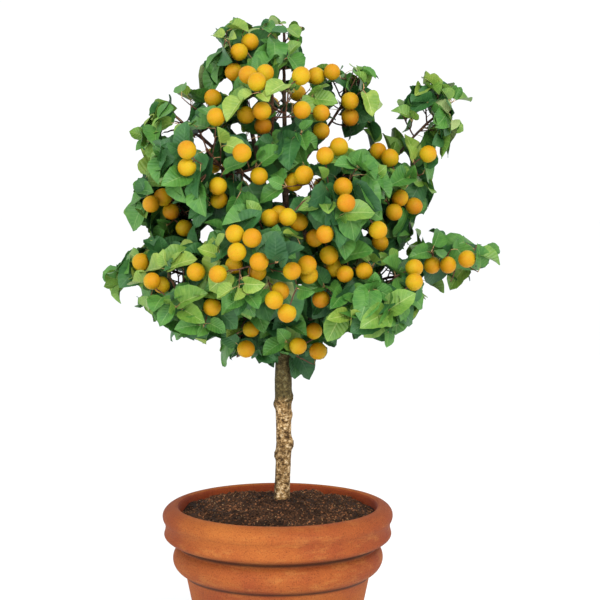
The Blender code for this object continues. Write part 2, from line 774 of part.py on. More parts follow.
def main():
    for old in list(bpy.data.objects):
        bpy.data.objects.remove(old)
    clay = material("clay", (0.60, 0.22, 0.08), 0.8)
    earth = material("earth", (0.045, 0.025, 0.015), 0.95)
    bark = material("bark", (0.36, 0.27, 0.15), 0.85)
    twig_bark = material("twig_bark", (0.09, 0.05, 0.03), 0.8)
    leaf = material("leaf", (0.10, 0.28, 0.05), 0.55)
    make_pot(clay)
    make_soil(earth)
    trunk = make_trunk(bark)
    masses = plan_masses()
    boughs = plan_boughs(masses, trunk)
    before = [trunk]
    points, faces = tube(trunk.path, trunk.radii, TRUNK_SIDES, swell=TRUNK_ROOM)
    for limb in boughs.values():
        make_bough(limb, twig_bark, before)
        before.append(limb)
        more, sides = tube(limb.path, limb.radii, LIMB_SIDES, swell=BOUGH_ROOM)
        faces += [tuple(i + len(points) for i in face) for face in sides]
        points += more
    blocked = BVHTree.FromPolygons(points, faces)
    counts = [
        make_mass(mass, masses, boughs.get(mass.name), trunk, blocked, leaf) for mass in masses
    ]
    print(sum(c[0] for c in counts), "leaves,", sum(c[1] for c in counts), "fruit")


main()
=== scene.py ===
# %% [markdown]
# # A dwarf apricot tree in a clay pot
#
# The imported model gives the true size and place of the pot, the soil, the trunk, the boughs and
# the masses of foliage. This script keeps that frame and dresses it: a turned pot, loose soil,
# bark with relief, and masses whose twigs, leaves and fruit grow by the same seeded rule as the
# solids do, carried on to finer shoots.

# %% Load the frame
import math
import random
from collections import namedtuple

import bmesh
import bpy
import numpy as np
from mathutils import Matrix, Vector, noise
from mathutils.bvhtree import BVHTree


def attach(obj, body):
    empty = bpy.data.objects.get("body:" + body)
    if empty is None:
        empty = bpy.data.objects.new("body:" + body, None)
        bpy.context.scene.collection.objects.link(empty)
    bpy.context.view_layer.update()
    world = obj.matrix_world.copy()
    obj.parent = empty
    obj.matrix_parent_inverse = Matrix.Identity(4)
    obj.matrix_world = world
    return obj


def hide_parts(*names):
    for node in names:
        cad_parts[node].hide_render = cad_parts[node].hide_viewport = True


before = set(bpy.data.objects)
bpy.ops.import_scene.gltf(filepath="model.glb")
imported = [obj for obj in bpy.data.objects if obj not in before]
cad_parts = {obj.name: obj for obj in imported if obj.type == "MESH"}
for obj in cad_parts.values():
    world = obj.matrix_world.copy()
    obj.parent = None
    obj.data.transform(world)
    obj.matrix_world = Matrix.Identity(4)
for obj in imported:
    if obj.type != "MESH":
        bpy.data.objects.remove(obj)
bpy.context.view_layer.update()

UP = Vector((0, 0, 1))

# %% [markdown]
# The camera stands three metres in front, a little above the middle of the tree, and looks down
# by five degrees, so the mouth of the pot shows as a flat oval.

# %% Camera
CAMERA_PLACE = (0.0433, -3.0, 1.031)
CAMERA_PITCH = -4.79
CAMERA_LENS = 93.3

camera_data = bpy.data.cameras.new("camera")
camera_data.lens = CAMERA_LENS
camera = bpy.data.objects.new("camera", camera_data)
camera.location = CAMERA_PLACE
camera.rotation_euler = (math.radians(90 + CAMERA_PITCH), 0, 0)
bpy.context.scene.collection.objects.link(camera)
bpy.context.scene.camera = camera

# %% [markdown]
# Some things are placed by where the photograph shows them. One helper says where points fall in
# its frame, another which way the camera looks at a place of the frame.

# %% Places in the frame
FRAME, SENSOR = 600, 36.0
FOCAL = CAMERA_LENS / SENSOR * FRAME
EYE = Vector(CAMERA_PLACE)
PITCH = math.radians(CAMERA_PITCH)
AHEAD = Vector((0, math.cos(PITCH), math.sin(PITCH)))
ABOVE = Vector((0, -math.sin(PITCH), math.cos(PITCH)))


def in_frame(points):
    """Where points are seen, as two arrays of pixels."""
    off = points - np.array(EYE)
    depth = off @ np.array(AHEAD)
    x = FRAME / 2 + FOCAL * off[:, 0] / depth
    y = FRAME / 2 - FOCAL * (off @ np.array(ABOVE)) / depth
    return x, y


def sight_line(x, y):
    """The way from the camera to a place of the frame."""
    aside = Vector(((x - FRAME / 2) / FOCAL, 0, 0))
    return (AHEAD + aside + ABOVE * (FRAME / 2 - y) / FOCAL).normalized()


# %% [markdown]
# A finish is a small tree of shader nodes. One helper adds a node with its settings and inputs,
# and others make a ramp, a noise, a mix or a sum. So each finish below reads as a short list of
# what the eye sees: a colour that varies, a roughness and a fine relief.


# %% Helpers for finishes
def feed(tree, socket, value):
    """Links an input to another node's output, or sets it to a plain value."""
    if isinstance(value, bpy.types.NodeSocket):
        tree.links.new(value, socket)
    else:
        socket.default_value = value


def add_node(tree, kind, inputs=None, **settings):
    made = tree.nodes.new("ShaderNode" + kind)
    for key, value in settings.items():
        setattr(made, key, value)
    for key, value in (inputs or {}).items():
        feed(tree, made.inputs[key], value)
    return made


def ramp(tree, factor, stops):
    """A colour ramp. A stop is (place, (r, g, b)) or (place, grey)."""
    made = add_node(tree, "ValToRGB", {"Fac": factor})
    while len(made.color_ramp.elements) < len(stops):
        made.color_ramp.elements.new(0.5)
    for element, (place, colour) in zip(made.color_ramp.elements, stops):
        element.position = place
        element.color = (*colour, 1) if isinstance(colour, tuple) else (colour, colour, colour, 1)
    return made.outputs["Color"]


def noise_at(tree, where, scale, detail=3.0, roughness=0.55, stretch=None):
    """Noise on the object's own coordinates, stretched where a pattern runs one way."""
    if stretch:
        where = add_node(tree, "Mapping", {"Vector": where, "Scale": stretch}).outputs["Vector"]
    inputs = {"Vector": where, "Scale": scale, "Detail": detail, "Roughness": roughness}
    return add_node(tree, "TexNoise", inputs).outputs["Fac"]


def mix(tree, factor, one, other, kind="MIX"):
    """One colour mixed with another. Each may be a socket or a plain colour."""
    one, other = [(*c, 1) if isinstance(c, tuple) else c for c in (one, other)]
    made = add_node(tree, "Mix", {0: factor, 6: one, 7: other}, data_type="RGBA", blend_type=kind)
    return made.outputs[2]


def multiply(tree, one, other, share=1.0):
    return mix(tree, share, one, other, "MULTIPLY")


def calculate(tree, operation, *values):
    return add_node(tree, "Math", dict(enumerate(values)), operation=operation).outputs[0]


def part_of(tree, vector, axis):
    """One axis of a vector."""
    return add_node(tree, "SeparateXYZ", {"Vector": vector}).outputs[axis]


def start_finish(name, specular):
    """A new material, with its tree, its shader and the object's own coordinates."""
    made = bpy.data.materials.new(name)
    made.use_nodes = True
    tree = made.node_tree
    shader = tree.nodes["Principled BSDF"]
    shader.inputs["Specular IOR Level"].default_value = specular
    where = add_node(tree, "TexCoord").outputs["Object"]
    return made, tree, shader, where


def finish_with(tree, shader, colour, roughness, relief=None, strength=0.3, distance=0.001):
    tree.links.new(colour, shader.inputs["Base Color"])
    tree.links.new(roughness, shader.inputs["Roughness"])
    if relief is not None:
        bump = add_node(tree, "Bump", {"Height": relief, "Strength": strength, "Distance": distance})
        tree.links.new(bump.outputs["Normal"], shader.inputs["Normal"])


# %% [markdown]
# Fired clay is matt and never one colour. It is redder towards its left and right sides, and
# darker there as painted shade where the wall turns away from the front. Salts from the watering
# bloom pale on the rolls, and grit shows as specks. The grooves between the rolls are painted dark
# as shade; they lie at known heights, so a ramp over the height darkens them. Inside the mouth the
# clay is darker.

# %% Clay finish
POT_HEIGHT = 0.38
INSIDE_RADIUS, INSIDE_HEIGHT = 0.1955, 0.345


def clay_finish():
    made, tree, shader, where = start_finish("fired_clay", 0.25)
    height = part_of(tree, where, "Z")
    tall = calculate(tree, "DIVIDE", height, POT_HEIGHT)
    patches = noise_at(tree, where, 5.0, 4.0)
    body = ramp(tree, patches, [
        (0.36, (0.256, 0.050, 0.011)), (0.50, (0.320, 0.080, 0.015)), (0.66, (0.382, 0.113, 0.021)),
    ])
    bloom = noise_at(tree, where, 16.0, 8.0, 0.78, (1.0, 1.0, 3.0))
    bloom_share = ramp(tree, bloom, [(0.50, 0.0), (0.72, 0.50)])
    rolls = ramp(tree, tall, [
        (0.60, 0.15), (0.68, 0.9), (0.80, 0.75), (0.835, 1.0), (0.90, 0.85), (1.0, 0.5),
    ])
    body = mix(tree, calculate(tree, "MULTIPLY", bloom_share, rolls), body, (0.54, 0.250, 0.062))
    # Redder and darker towards the left and right sides; the darkening is painted shade where the wall
    # turns away from the front.
    across = calculate(tree, "MULTIPLY_ADD", part_of(tree, where, "X"), 2.2, 0.5)
    body = multiply(tree, body, ramp(tree, across, [
        (0.0, (0.66, 0.50, 0.48)), (0.28, 1.0), (0.80, 1.0), (1.0, (0.78, 0.62, 0.58)),
    ]))
    grit = noise_at(tree, where, 420.0, 2.0, 0.6)
    specks = ramp(tree, grit, [
        (0.32, (0.50, 0.42, 0.36)), (0.44, (0.92, 0.90, 0.88)), (0.60, 1.0), (0.70, (1.25, 1.22, 1.12)),
    ])
    body = multiply(tree, body, specks, 0.8)
    # Painted shade: the grooves between the rolls are darkened by height.
    body = multiply(tree, body, ramp(tree, tall, [
        (0.636, 1.0), (0.650, 0.12), (0.662, 0.60), (0.680, 1.0),
        (0.784, 1.0), (0.803, 0.10), (0.816, 0.50), (0.842, 1.0),
    ]))
    # Darker inside the mouth, above the soil.
    flat = add_node(tree, "Mapping", {"Vector": where, "Scale": (1.0, 1.0, 0.0)}).outputs["Vector"]
    radius = add_node(tree, "VectorMath", {0: flat}, operation="LENGTH").outputs["Value"]
    near_axis = calculate(tree, "LESS_THAN", radius, INSIDE_RADIUS)
    high = calculate(tree, "GREATER_THAN", height, INSIDE_HEIGHT)
    damp = multiply(tree, body, (0.72, 0.46, 0.42))
    body = mix(tree, calculate(tree, "MULTIPLY", near_axis, high), body, damp)
    bands = {"Vector": where, "Scale": 55.0, "Distortion": 2.5, "Detail": 3.0, "Detail Scale": 4.0}
    rings = add_node(tree, "TexWave", bands, wave_type="BANDS", bands_direction="Z").outputs["Fac"]
    grain = calculate(tree, "MULTIPLY", grit, 0.8)
    relief = calculate(tree, "ADD", calculate(tree, "MULTIPLY", rings, 0.35), grain)
    rough = ramp(tree, patches, [(0.3, 0.72), (0.7, 0.90)])
    finish_with(tree, shader, body, rough, relief, 0.35, 0.0012)
    return made


clay = clay_finish()
print("finish", clay.name)

# %% [markdown]
# Potting soil is crumbs of peat and bark. The ground between them is nearly black, the crumbs
# run from dark brown to a reddish brown, and a few flecks of bark are pale.


# %% Soil finishes
def crumb_finish(name, dark, light):
    made, tree, shader, where = start_finish(name, 0.2)
    grain = noise_at(tree, where, 260.0, 3.0, 0.65)
    colour = ramp(tree, grain, [(0.34, dark), (0.66, light)])
    damp = ramp(tree, noise_at(tree, where, 17.0, 3.0), [(0.40, 0.50), (0.58, 1.20)])
    colour = multiply(tree, colour, damp)
    rough = ramp(tree, grain, [(0.3, 0.85), (0.7, 1.0)])
    finish_with(tree, shader, colour, rough, grain, 0.6, 0.002)
    return made


soil_ground = crumb_finish("soil_ground", (0.008, 0.0035, 0.002), (0.062, 0.026, 0.011))
peat_crumbs = crumb_finish("peat_crumbs", (0.020, 0.009, 0.005), (0.115, 0.052, 0.024))
red_crumbs = crumb_finish("red_crumbs", (0.095, 0.036, 0.015), (0.290, 0.120, 0.050))
pale_crumbs = crumb_finish("pale_crumbs", (0.220, 0.118, 0.052), (0.440, 0.285, 0.145))

# %% [markdown]
# The trunk's bark is pale and flaky with dark flecks lying across it. Its left side is painted
# darker as shade, and where it runs up into the crown it is painted a dark olive brown as the
# crown's shade. The boughs are darker and smoother, with small pale pores. Young shoots are
# reddish, and leaf stalks pink.


# %% Bark finishes
def trunk_finish():
    made, tree, shader, where = start_finish("trunk_bark", 0.25)
    flakes = noise_at(tree, where, 120.0, 7.0, 0.74, (1.0, 1.0, 1.2))
    plates = ramp(tree, flakes, [
        (0.38, (0.030, 0.014, 0.005)), (0.46, (0.215, 0.118, 0.040)),
        (0.54, (0.43, 0.265, 0.105)), (0.63, (0.88, 0.68, 0.42)),
    ])
    flecks = noise_at(tree, where, 220.0, 4.0, 0.72, (0.75, 0.75, 1.8))
    dark = ramp(tree, flecks, [(0.545, 0.0), (0.595, 0.94)])
    bark = mix(tree, dark, plates, (0.055, 0.028, 0.010))
    streaks = noise_at(tree, where, 70.0, 4.0, 0.6, (1.0, 1.0, 0.22))
    bark = multiply(tree, bark, ramp(tree, streaks, [(0.40, 0.78), (0.56, 1.10)]))
    # Painted shade: the left side of the trunk is darkened.
    across = calculate(tree, "MULTIPLY_ADD", part_of(tree, where, "X"), 40.0, 0.3)
    bark = multiply(tree, bark, ramp(tree, across, [(0.06, 0.45), (0.36, 1.0)]))
    fine = noise_at(tree, where, 520.0, 2.0)
    bark = multiply(tree, bark, ramp(tree, fine, [(0.35, 0.70), (0.6, 1.12)]), 0.55)
    # Painted shade: dark olive brown where the trunk runs up under the crown.
    wander = calculate(tree, "MULTIPLY", noise_at(tree, where, 30.0), 0.05)
    uneven = calculate(tree, "ADD", part_of(tree, where, "Z"), wander)
    shade = ramp(tree, uneven, [(0.595, 0.0), (0.622, 0.95)])
    olive = multiply(tree, bark, (0.175, 0.250, 0.105), 0.80)
    olive = mix(tree, 0.45, olive, (0.082, 0.068, 0.026))
    bark = mix(tree, shade, bark, olive)
    relief = calculate(tree, "SUBTRACT", flakes, calculate(tree, "MULTIPLY", dark, 0.5))
    rough = ramp(tree, flakes, [(0.3, 0.95), (0.7, 0.75)])
    finish_with(tree, shader, bark, rough, relief, 0.8, 0.0012)
    return made


def shoot_finish(name, dark, light, roughness, pores=(0.30, 0.22, 0.15)):
    made, tree, shader, where = start_finish(name, 0.35)
    grain = noise_at(tree, where, 140.0, 3.0)
    colour = ramp(tree, grain, [(0.35, dark), (0.65, light)])
    dots = add_node(tree, "TexVoronoi", {"Vector": where, "Scale": 260.0}).outputs["Distance"]
    colour = mix(tree, ramp(tree, dots, [(0.10, 0.6), (0.22, 0.0)]), colour, pores)
    rough = ramp(tree, grain, [(0.3, roughness), (0.7, roughness + 0.12)])
    finish_with(tree, shader, colour, rough, grain, 0.4, 0.0008)
    return made


trunk_bark = trunk_finish()
bough_bark = shoot_finish("bough_bark", (0.040, 0.024, 0.016), (0.135, 0.085, 0.050), 0.75)
twig_bark = shoot_finish("twig_bark", (0.050, 0.020, 0.012), (0.150, 0.062, 0.032), 0.55)
stalk_tints = (0.330, 0.230, 0.070), (0.560, 0.300, 0.150)
stalk_skin = shoot_finish("stalk_skin", *stalk_tints, 0.45, (0.50, 0.35, 0.18))

# %% [markdown]
# A leaf has a pale midrib, and side veins that run from it to the edge. The blade's own map
# holds them: U runs across the blade and V from its foot to its tip, so the veins are simple
# functions of U and V. Every tint is a finish of its own, and is dealt out by shoot later.


# %% Leaf finishes
def leaf_finish(name, deep, fresh, vein, roughness, specular):
    made, tree, shader, where = start_finish(name, specular)
    blade = add_node(tree, "UVMap", uv_map="blade").outputs["UV"]
    aside = calculate(tree, "SUBTRACT", part_of(tree, blade, "X"), 0.5)
    off_middle = calculate(tree, "ABSOLUTE", aside)
    mottle = noise_at(tree, where, 55.0, 4.0, 0.6)
    colour = ramp(tree, mottle, [(0.35, deep), (0.65, fresh)])
    slant = calculate(tree, "MULTIPLY", off_middle, 0.55)
    climb = calculate(tree, "SUBTRACT", part_of(tree, blade, "Y"), slant)
    wave = calculate(tree, "SINE", calculate(tree, "MULTIPLY", climb, 44.0))
    side_veins = ramp(tree, wave, [(0.86, 0.0), (1.0, 0.24)])
    midrib = ramp(tree, off_middle, [(0.010, 0.75), (0.030, 0.0)])
    colour = mix(tree, calculate(tree, "MAXIMUM", side_veins, midrib), colour, vein)
    sunk = calculate(tree, "MULTIPLY", wave, -0.25)
    puckers = calculate(tree, "ADD", sunk, calculate(tree, "MULTIPLY", mottle, 0.5))
    rough = ramp(tree, mottle, [(0.3, roughness), (0.7, roughness + 0.14)])
    finish_with(tree, shader, colour, rough, puckers, 0.50, 0.0014)
    return made


# Each tint is the blade's darker and lighter green, the veins, the roughness and the gloss.
LEAF_TINTS = {
    "bright": ((0.132, 0.248, 0.030), (0.246, 0.342, 0.054), (0.40, 0.47, 0.15), 0.38, 0.36),
    "fresh": ((0.088, 0.208, 0.027), (0.164, 0.292, 0.042), (0.30, 0.40, 0.12), 0.38, 0.36),
    "mid": ((0.042, 0.154, 0.024), (0.082, 0.224, 0.034), (0.17, 0.31, 0.09), 0.40, 0.34),
    "deep": ((0.021, 0.096, 0.024), (0.042, 0.142, 0.032), (0.08, 0.19, 0.07), 0.42, 0.32),
    "shade": ((0.016, 0.069, 0.023), (0.030, 0.101, 0.030), (0.05, 0.12, 0.05), 0.45, 0.26),
    "pale": ((0.220, 0.320, 0.105), (0.320, 0.405, 0.160), (0.45, 0.52, 0.26), 0.55, 0.28),
}
leaf_finishes = {name: leaf_finish("leaf_" + name, *values) for name, values in LEAF_TINTS.items()}
print("leaf tints", ", ".join(leaf_finishes))

# %% [markdown]
# A ripe apricot is golden orange, with a fine bloom and pores. Towards the stalk end, which
# mostly hangs uppermost, it is painted yellower and lighter as light, and towards the far end a
# deeper orange as shade. The skin is satin, not glossy.


# %% Fruit finishes
def fruit_finish(name, painted_shade_tint, ripe, painted_light_tint):
    made, tree, shader, where = start_finish(name, 0.18)
    shader.inputs["Subsurface Weight"].default_value = 0.20
    shader.inputs["Subsurface Radius"].default_value = (0.006, 0.002, 0.001)
    shader.inputs["Subsurface Scale"].default_value = 1.0
    skin = add_node(tree, "UVMap", uv_map="blade").outputs["UV"]
    blotch = calculate(tree, "SUBTRACT", noise_at(tree, where, 38.0, 3.0), 0.5)
    drift = calculate(tree, "ADD", part_of(tree, skin, "Y"), calculate(tree, "MULTIPLY", blotch, 0.9))
    # Painted light and shade: lighter and yellower towards the stalk end, deeper orange at the far end.
    colour = ramp(tree, drift, [(0.10, painted_shade_tint), (0.42, ripe), (0.85, painted_light_tint)])
    pores = noise_at(tree, where, 700.0, 2.0, 0.5)
    colour = multiply(tree, colour, ramp(tree, pores, [(0.32, 0.72), (0.45, 1.0)]), 0.5)
    rough = ramp(tree, pores, [(0.3, 0.62), (0.7, 0.50)])
    finish_with(tree, shader, colour, rough, pores, 0.18, 0.0006)
    return made


FRUIT_TINTS = {
    "golden": ((0.470, 0.240, 0.003), (0.470, 0.285, 0.004), (0.470, 0.318, 0.006)),
    "amber": ((0.465, 0.212, 0.003), (0.470, 0.262, 0.004), (0.470, 0.300, 0.005)),
    "ruddy": ((0.450, 0.172, 0.003), (0.465, 0.222, 0.004), (0.470, 0.272, 0.005)),
}
fruit_finishes = {name: fruit_finish("fruit_" + name, *values) for name, values in FRUIT_TINTS.items()}
print("fruit tints", ", ".join(fruit_finishes))

# %% [markdown]
# Modelling starts from a clean selection, because an operator acts on all that is selected and
# the frame arrives selected. A finished piece gets its place applied to its mesh, its finish,
# the body it rides on and the nodes it stands for.


# %% Helpers for modelling
def nothing_selected():
    if bpy.context.mode != "OBJECT":
        bpy.ops.object.mode_set(mode="OBJECT")
    bpy.ops.object.select_all(action="DESELECT")


def finish_piece(made, name, finish, nodes):
    nothing_selected()
    made.select_set(True)
    bpy.context.view_layer.objects.active = made
    bpy.ops.object.transform_apply(location=True, rotation=True, scale=True)
    made.name = made.data.name = name
    made.data.materials.clear()
    made.data.materials.append(finish)
    bpy.ops.object.shade_smooth_by_angle(angle=math.radians(48))
    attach(made, "root")
    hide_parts(*nodes)
    made.data.calc_loop_triangles()
    print(f"{name}: {len(made.data.loop_triangles)} triangles")


def turned_piece(profile, steps):
    """A profile of (radius, height), drawn point by point and spun once round the Z axis."""
    nothing_selected()
    bpy.ops.mesh.primitive_plane_add(size=0.01, location=(profile[0][0], 0, profile[0][1]))
    made = bpy.context.object
    bpy.ops.object.transform_apply(location=True, rotation=True, scale=True)
    bpy.ops.object.mode_set(mode="EDIT")
    bpy.ops.mesh.select_all(action="SELECT")
    bpy.ops.mesh.merge(type="CENTER")
    for (r0, z0), (r1, z1) in zip(profile, profile[1:]):
        bpy.ops.mesh.extrude_region_move(TRANSFORM_OT_translate={"value": (r1 - r0, 0, z1 - z0)})
    bpy.ops.mesh.select_all(action="SELECT")
    bpy.ops.mesh.spin(steps=steps, angle=math.tau, center=(0, 0, 0), axis=(0, 0, 1))
    bpy.ops.mesh.select_all(action="SELECT")
    bpy.ops.mesh.remove_doubles(threshold=0.00005)
    bpy.ops.mesh.normals_make_consistent(inside=False)
    bpy.ops.object.mode_set(mode="OBJECT")
    return made


# %% [markdown]
# ## The pot
#
# A thrown pot is a turned form, so its profile is drawn once and spun. The rim is a heavy roll
# with a narrower bead under it, then a groove, a second band, another groove and the tapering
# body. Each roll is part of an oval. Spinning it in one go keeps the wall even, and a slight
# unevenness is added afterwards, because no thrown pot is perfectly round.

# %% Pot profile
FOOT_RADIUS, BODY_RADIUS, BODY_HEIGHT = 0.130, 0.181, 0.247
MOUTH_RADIUS, WALL, FLOOR = 0.193, 0.018, 0.022
POT_STEPS = 144


def oval(radius, height, across, tall, start, end, steps):
    """Part of an oval's outline, from one angle in degrees to another."""
    turns = [math.radians(start + (end - start) * i / steps) for i in range(steps + 1)]
    return [(radius + across * math.cos(t), height + tall * math.sin(t)) for t in turns]


def wall_radius(height, inset=0.0):
    """The tapering body's radius at a height, less an inset."""
    return FOOT_RADIUS + (BODY_RADIUS - FOOT_RADIUS) * height / BODY_HEIGHT - inset


def pot_profile():
    foot = oval(FOOT_RADIUS - 0.004, 0.004, 0.004, 0.004, -90, 0, 4)
    body = [(wall_radius(z), z) for z in (0.03, 0.08, 0.13, 0.18, 0.22, 0.242)]
    band = oval(0.176, 0.2765, 0.0295, 0.0285, -66, 52, 18)
    bead = oval(0.192, 0.3240, 0.0300, 0.0145, -76, 12, 12)
    bead += [(0.2200, 0.333), (0.2194, 0.339), (0.2200, 0.344)]
    rim = oval(0.199, 0.3590, 0.0260, 0.0210, -30, 90, 20)
    lip = oval(0.201, 0.3720, 0.0080, 0.0080, 90, 180, 8)
    inner = [(MOUTH_RADIUS - 0.001, z) for z in (0.366, 0.350)]
    inner += [(wall_radius(z, WALL), z) for z in (0.240, 0.15, 0.06, FLOOR)]
    return [(0.0, 0.0)] + foot + body + band + bead + rim + lip + inner + [(0.0, FLOOR)]


pot = turned_piece(pot_profile(), POT_STEPS)
print("pot", len(pot.data.polygons), "faces")

# %% Drain holes
HOLES, HOLE_RADIUS, HOLE_OUT = 4, 0.008, 0.055

for k in range(HOLES):
    turn = math.tau * (k + 0.5) / HOLES
    place = (HOLE_OUT * math.cos(turn), HOLE_OUT * math.sin(turn), FLOOR / 2)
    nothing_selected()
    bpy.ops.mesh.primitive_cylinder_add(
        vertices=24, radius=HOLE_RADIUS, depth=FLOOR * 3, location=place
    )
    drill = bpy.context.object
    nothing_selected()
    pot.select_set(True)
    bpy.context.view_layer.objects.active = pot
    cut = pot.modifiers.new("drain", "BOOLEAN")
    cut.operation, cut.solver, cut.object = "DIFFERENCE", "EXACT", drill
    bpy.ops.object.modifier_apply(modifier=cut.name)
    bpy.data.objects.remove(drill)

# %% [markdown]
# The thrower's hand leaves the walls a little uneven. Every point moves along its radius by a
# slow noise of under a millimetre, and less at the foot, which stays flat.

# %% Uneven wall
UNEVEN, EVEN_FOOT, MIDDLE_OF_FLOOR = 0.0009, 0.05, 0.1

for vertex in pot.data.vertices:
    place = vertex.co
    out = Vector((place.x, place.y, 0))
    if out.length > MIDDLE_OF_FLOOR:
        drift = noise.noise(Vector((place.x * 9, place.y * 9, place.z * 30)))
        vertex.co = place + out.normalized() * drift * UNEVEN * min(1.0, place.z / EVEN_FOOT)
finish_piece(pot, "clay_pot", clay, ["pot"])

# %% [markdown]
# ## The soil
#
# The soil fills the pot and is mounded to the trunk. It is a turned form too, with close rings
# on top, so that a noise can raise lumps and hollows there. Crumbs are then strewn over it.

# %% Soil body
SOIL_EDGE, SOIL_CROWN, CLEAR = 0.360, 0.381, 0.0003
SOIL_LEVEL_RADIUS = 0.030
SOIL_SHOULDER, SOIL_RINGS, SOIL_STEPS = 0.345, 60, 150
SOIL_HEAPS = (
    (-0.120, 0.080, 0.006), (-0.070, 0.125, 0.005), (0.060, 0.130, 0.005),
    (0.125, 0.085, 0.006), (0.008, 0.004, 0.008),
)
TRUNK_FOOT = Vector((0.0075, 0.010, SOIL_CROWN + CLEAR))


def soil_height(radius):
    """The even mound's height at a distance from the axis."""
    share = max(0.0, (radius - SOIL_LEVEL_RADIUS) / (MOUTH_RADIUS - SOIL_LEVEL_RADIUS))
    return SOIL_CROWN - (SOIL_CROWN - SOIL_EDGE) * share**1.6


def soil_lumps(x, y):
    """How far the soil's surface stands off its even mound."""
    near = min(1.0, math.hypot(x - TRUNK_FOOT.x, y - TRUNK_FOOT.y) / 0.05)
    broad = noise.noise(Vector((x * 22, y * 22, 3.0))) * 0.0070
    small = noise.noise(Vector((x * 75, y * 75, 8.0))) * 0.0045
    grit = noise.noise(Vector((x * 240, y * 240, 5.0))) * 0.0016
    heaps = sum(h * math.exp(-((x - a) ** 2 + (y - b) ** 2) / 0.0016) for a, b, h in SOIL_HEAPS)
    return (broad + small) * near + grit + heaps


def soil_profile():
    edge = MOUTH_RADIUS - 0.0022
    inset = WALL + 0.001
    bottom = FLOOR + CLEAR
    sides = [(0.0, bottom), (wall_radius(bottom, inset), bottom)]
    sides += [(wall_radius(0.24, inset), 0.240), (edge, SOIL_SHOULDER)]
    radii = [edge * (1 - i / SOIL_RINGS) for i in range(SOIL_RINGS + 1)]
    return sides + [(radius, soil_height(radius)) for radius in radii]


soil = turned_piece(soil_profile(), SOIL_STEPS)
for vertex in soil.data.vertices:
    if vertex.co.z > SOIL_SHOULDER + 0.005:
        vertex.co.z += soil_lumps(vertex.co.x, vertex.co.y)
finish_piece(soil, "soil_body", soil_ground, ["soil"])

# %% [markdown]
# Thousands of small things are copied, not placed by hand. A model is read into arrays once, and
# copies are joined into one mesh with a size, a turn and a place each.

# %% Copies from arrays
Model = namedtuple("Model", "points loops sizes uvs")


def read_model(made):
    """The object's mesh as arrays. The object itself is then removed."""
    mesh = made.data
    points = np.zeros(len(mesh.vertices) * 3)
    loops = np.zeros(len(mesh.loops), dtype=np.int64)
    sizes = np.zeros(len(mesh.polygons), dtype=np.int64)
    uvs = np.zeros(len(mesh.loops) * 2)
    mesh.vertices.foreach_get("co", points)
    mesh.loops.foreach_get("vertex_index", loops)
    mesh.polygons.foreach_get("loop_total", sizes)
    if mesh.uv_layers.active:
        mesh.uv_layers.active.data.foreach_get("uv", uvs)
    bpy.data.objects.remove(made)
    return Model(points.reshape(-1, 3), loops, sizes, uvs.reshape(-1, 2))


def join_copies(name, copies, finish, nodes):
    """One piece of many copies, each (model, 3x3 array, place)."""
    points = np.concatenate([m.points @ turn.T + place for m, turn, place in copies])
    starts = np.cumsum([0] + [len(m.points) for m, _, _ in copies[:-1]])
    loops = np.concatenate([m.loops + start for (m, _, _), start in zip(copies, starts)])
    sizes = np.concatenate([m.sizes for m, _, _ in copies])
    uvs = np.concatenate([m.uvs for m, _, _ in copies])
    mesh = bpy.data.meshes.new(name)
    mesh.vertices.add(len(points))
    mesh.vertices.foreach_set("co", points.ravel())
    mesh.loops.add(len(loops))
    mesh.loops.foreach_set("vertex_index", loops)
    mesh.polygons.add(len(sizes))
    mesh.polygons.foreach_set("loop_start", np.cumsum(sizes) - sizes)
    mesh.uv_layers.new(name="blade").data.foreach_set("uv", uvs.ravel())
    mesh.update(calc_edges=True)
    mesh.validate()
    made = bpy.data.objects.new(name, mesh)
    bpy.context.scene.collection.objects.link(made)
    finish_piece(made, name, finish, nodes)


def random_turn(dice):
    """A random rotation as an array."""
    axis = Vector((dice.gauss(0, 1), dice.gauss(0, 1), dice.gauss(0, 1))).normalized()
    return np.array(Matrix.Rotation(dice.uniform(0, math.tau), 3, axis))


# %% [markdown]
# A crumb starts as a twenty-sided ball whose corners are pushed in and out. Four such
# models, turned and sized at random, are enough for thousands that never look alike.


# %% Crumbs
def crumb_model(seed):
    nothing_selected()
    bpy.ops.mesh.primitive_ico_sphere_add(subdivisions=1, radius=1.0)
    made = bpy.context.object
    dice = random.Random(f"crumb{seed}")
    for vertex in made.data.vertices:
        vertex.co *= dice.uniform(0.55, 1.15)
    made.data.transform(Matrix.Diagonal((1.0, dice.uniform(0.6, 0.9), dice.uniform(0.45, 0.8), 1.0)))
    return read_model(made)


crumb_models = [crumb_model(k) for k in range(4)]
CLEAR_OF_TRUNK = 0.017


def strew(name, count, smallest, largest, finish, seed):
    dice = random.Random(seed)
    copies = []
    for _ in range(count):
        radius = (MOUTH_RADIUS - 0.006) * math.sqrt(dice.random())
        turn = dice.uniform(0, math.tau)
        x, y = radius * math.cos(turn), radius * math.sin(turn)
        if math.hypot(x - TRUNK_FOOT.x, y - TRUNK_FOOT.y) < CLEAR_OF_TRUNK:
            continue
        size = dice.uniform(smallest, largest)
        place = np.array((x, y, soil_height(radius) + soil_lumps(x, y) + size * 0.25))
        copies.append((dice.choice(crumb_models), random_turn(dice) * size, place))
    join_copies(name, copies, finish, ["soil"])


strew("soil_crumbs_peat", 2600, 0.0014, 0.0044, peat_crumbs, "peat")
strew("soil_crumbs_red", 1250, 0.0012, 0.0036, red_crumbs, "red")
strew("soil_crumbs_pale", 330, 0.0008, 0.0022, pale_crumbs, "pale")

# %% [markdown]
# ## The trunk
#
# The trunk leans a little and carries seven knots, the scars of pruned shoots. A cylinder is
# cut into close rings, and every point is then moved out by the trunk's own radius at its
# height, the swell of the knots near it and the relief of the bark.

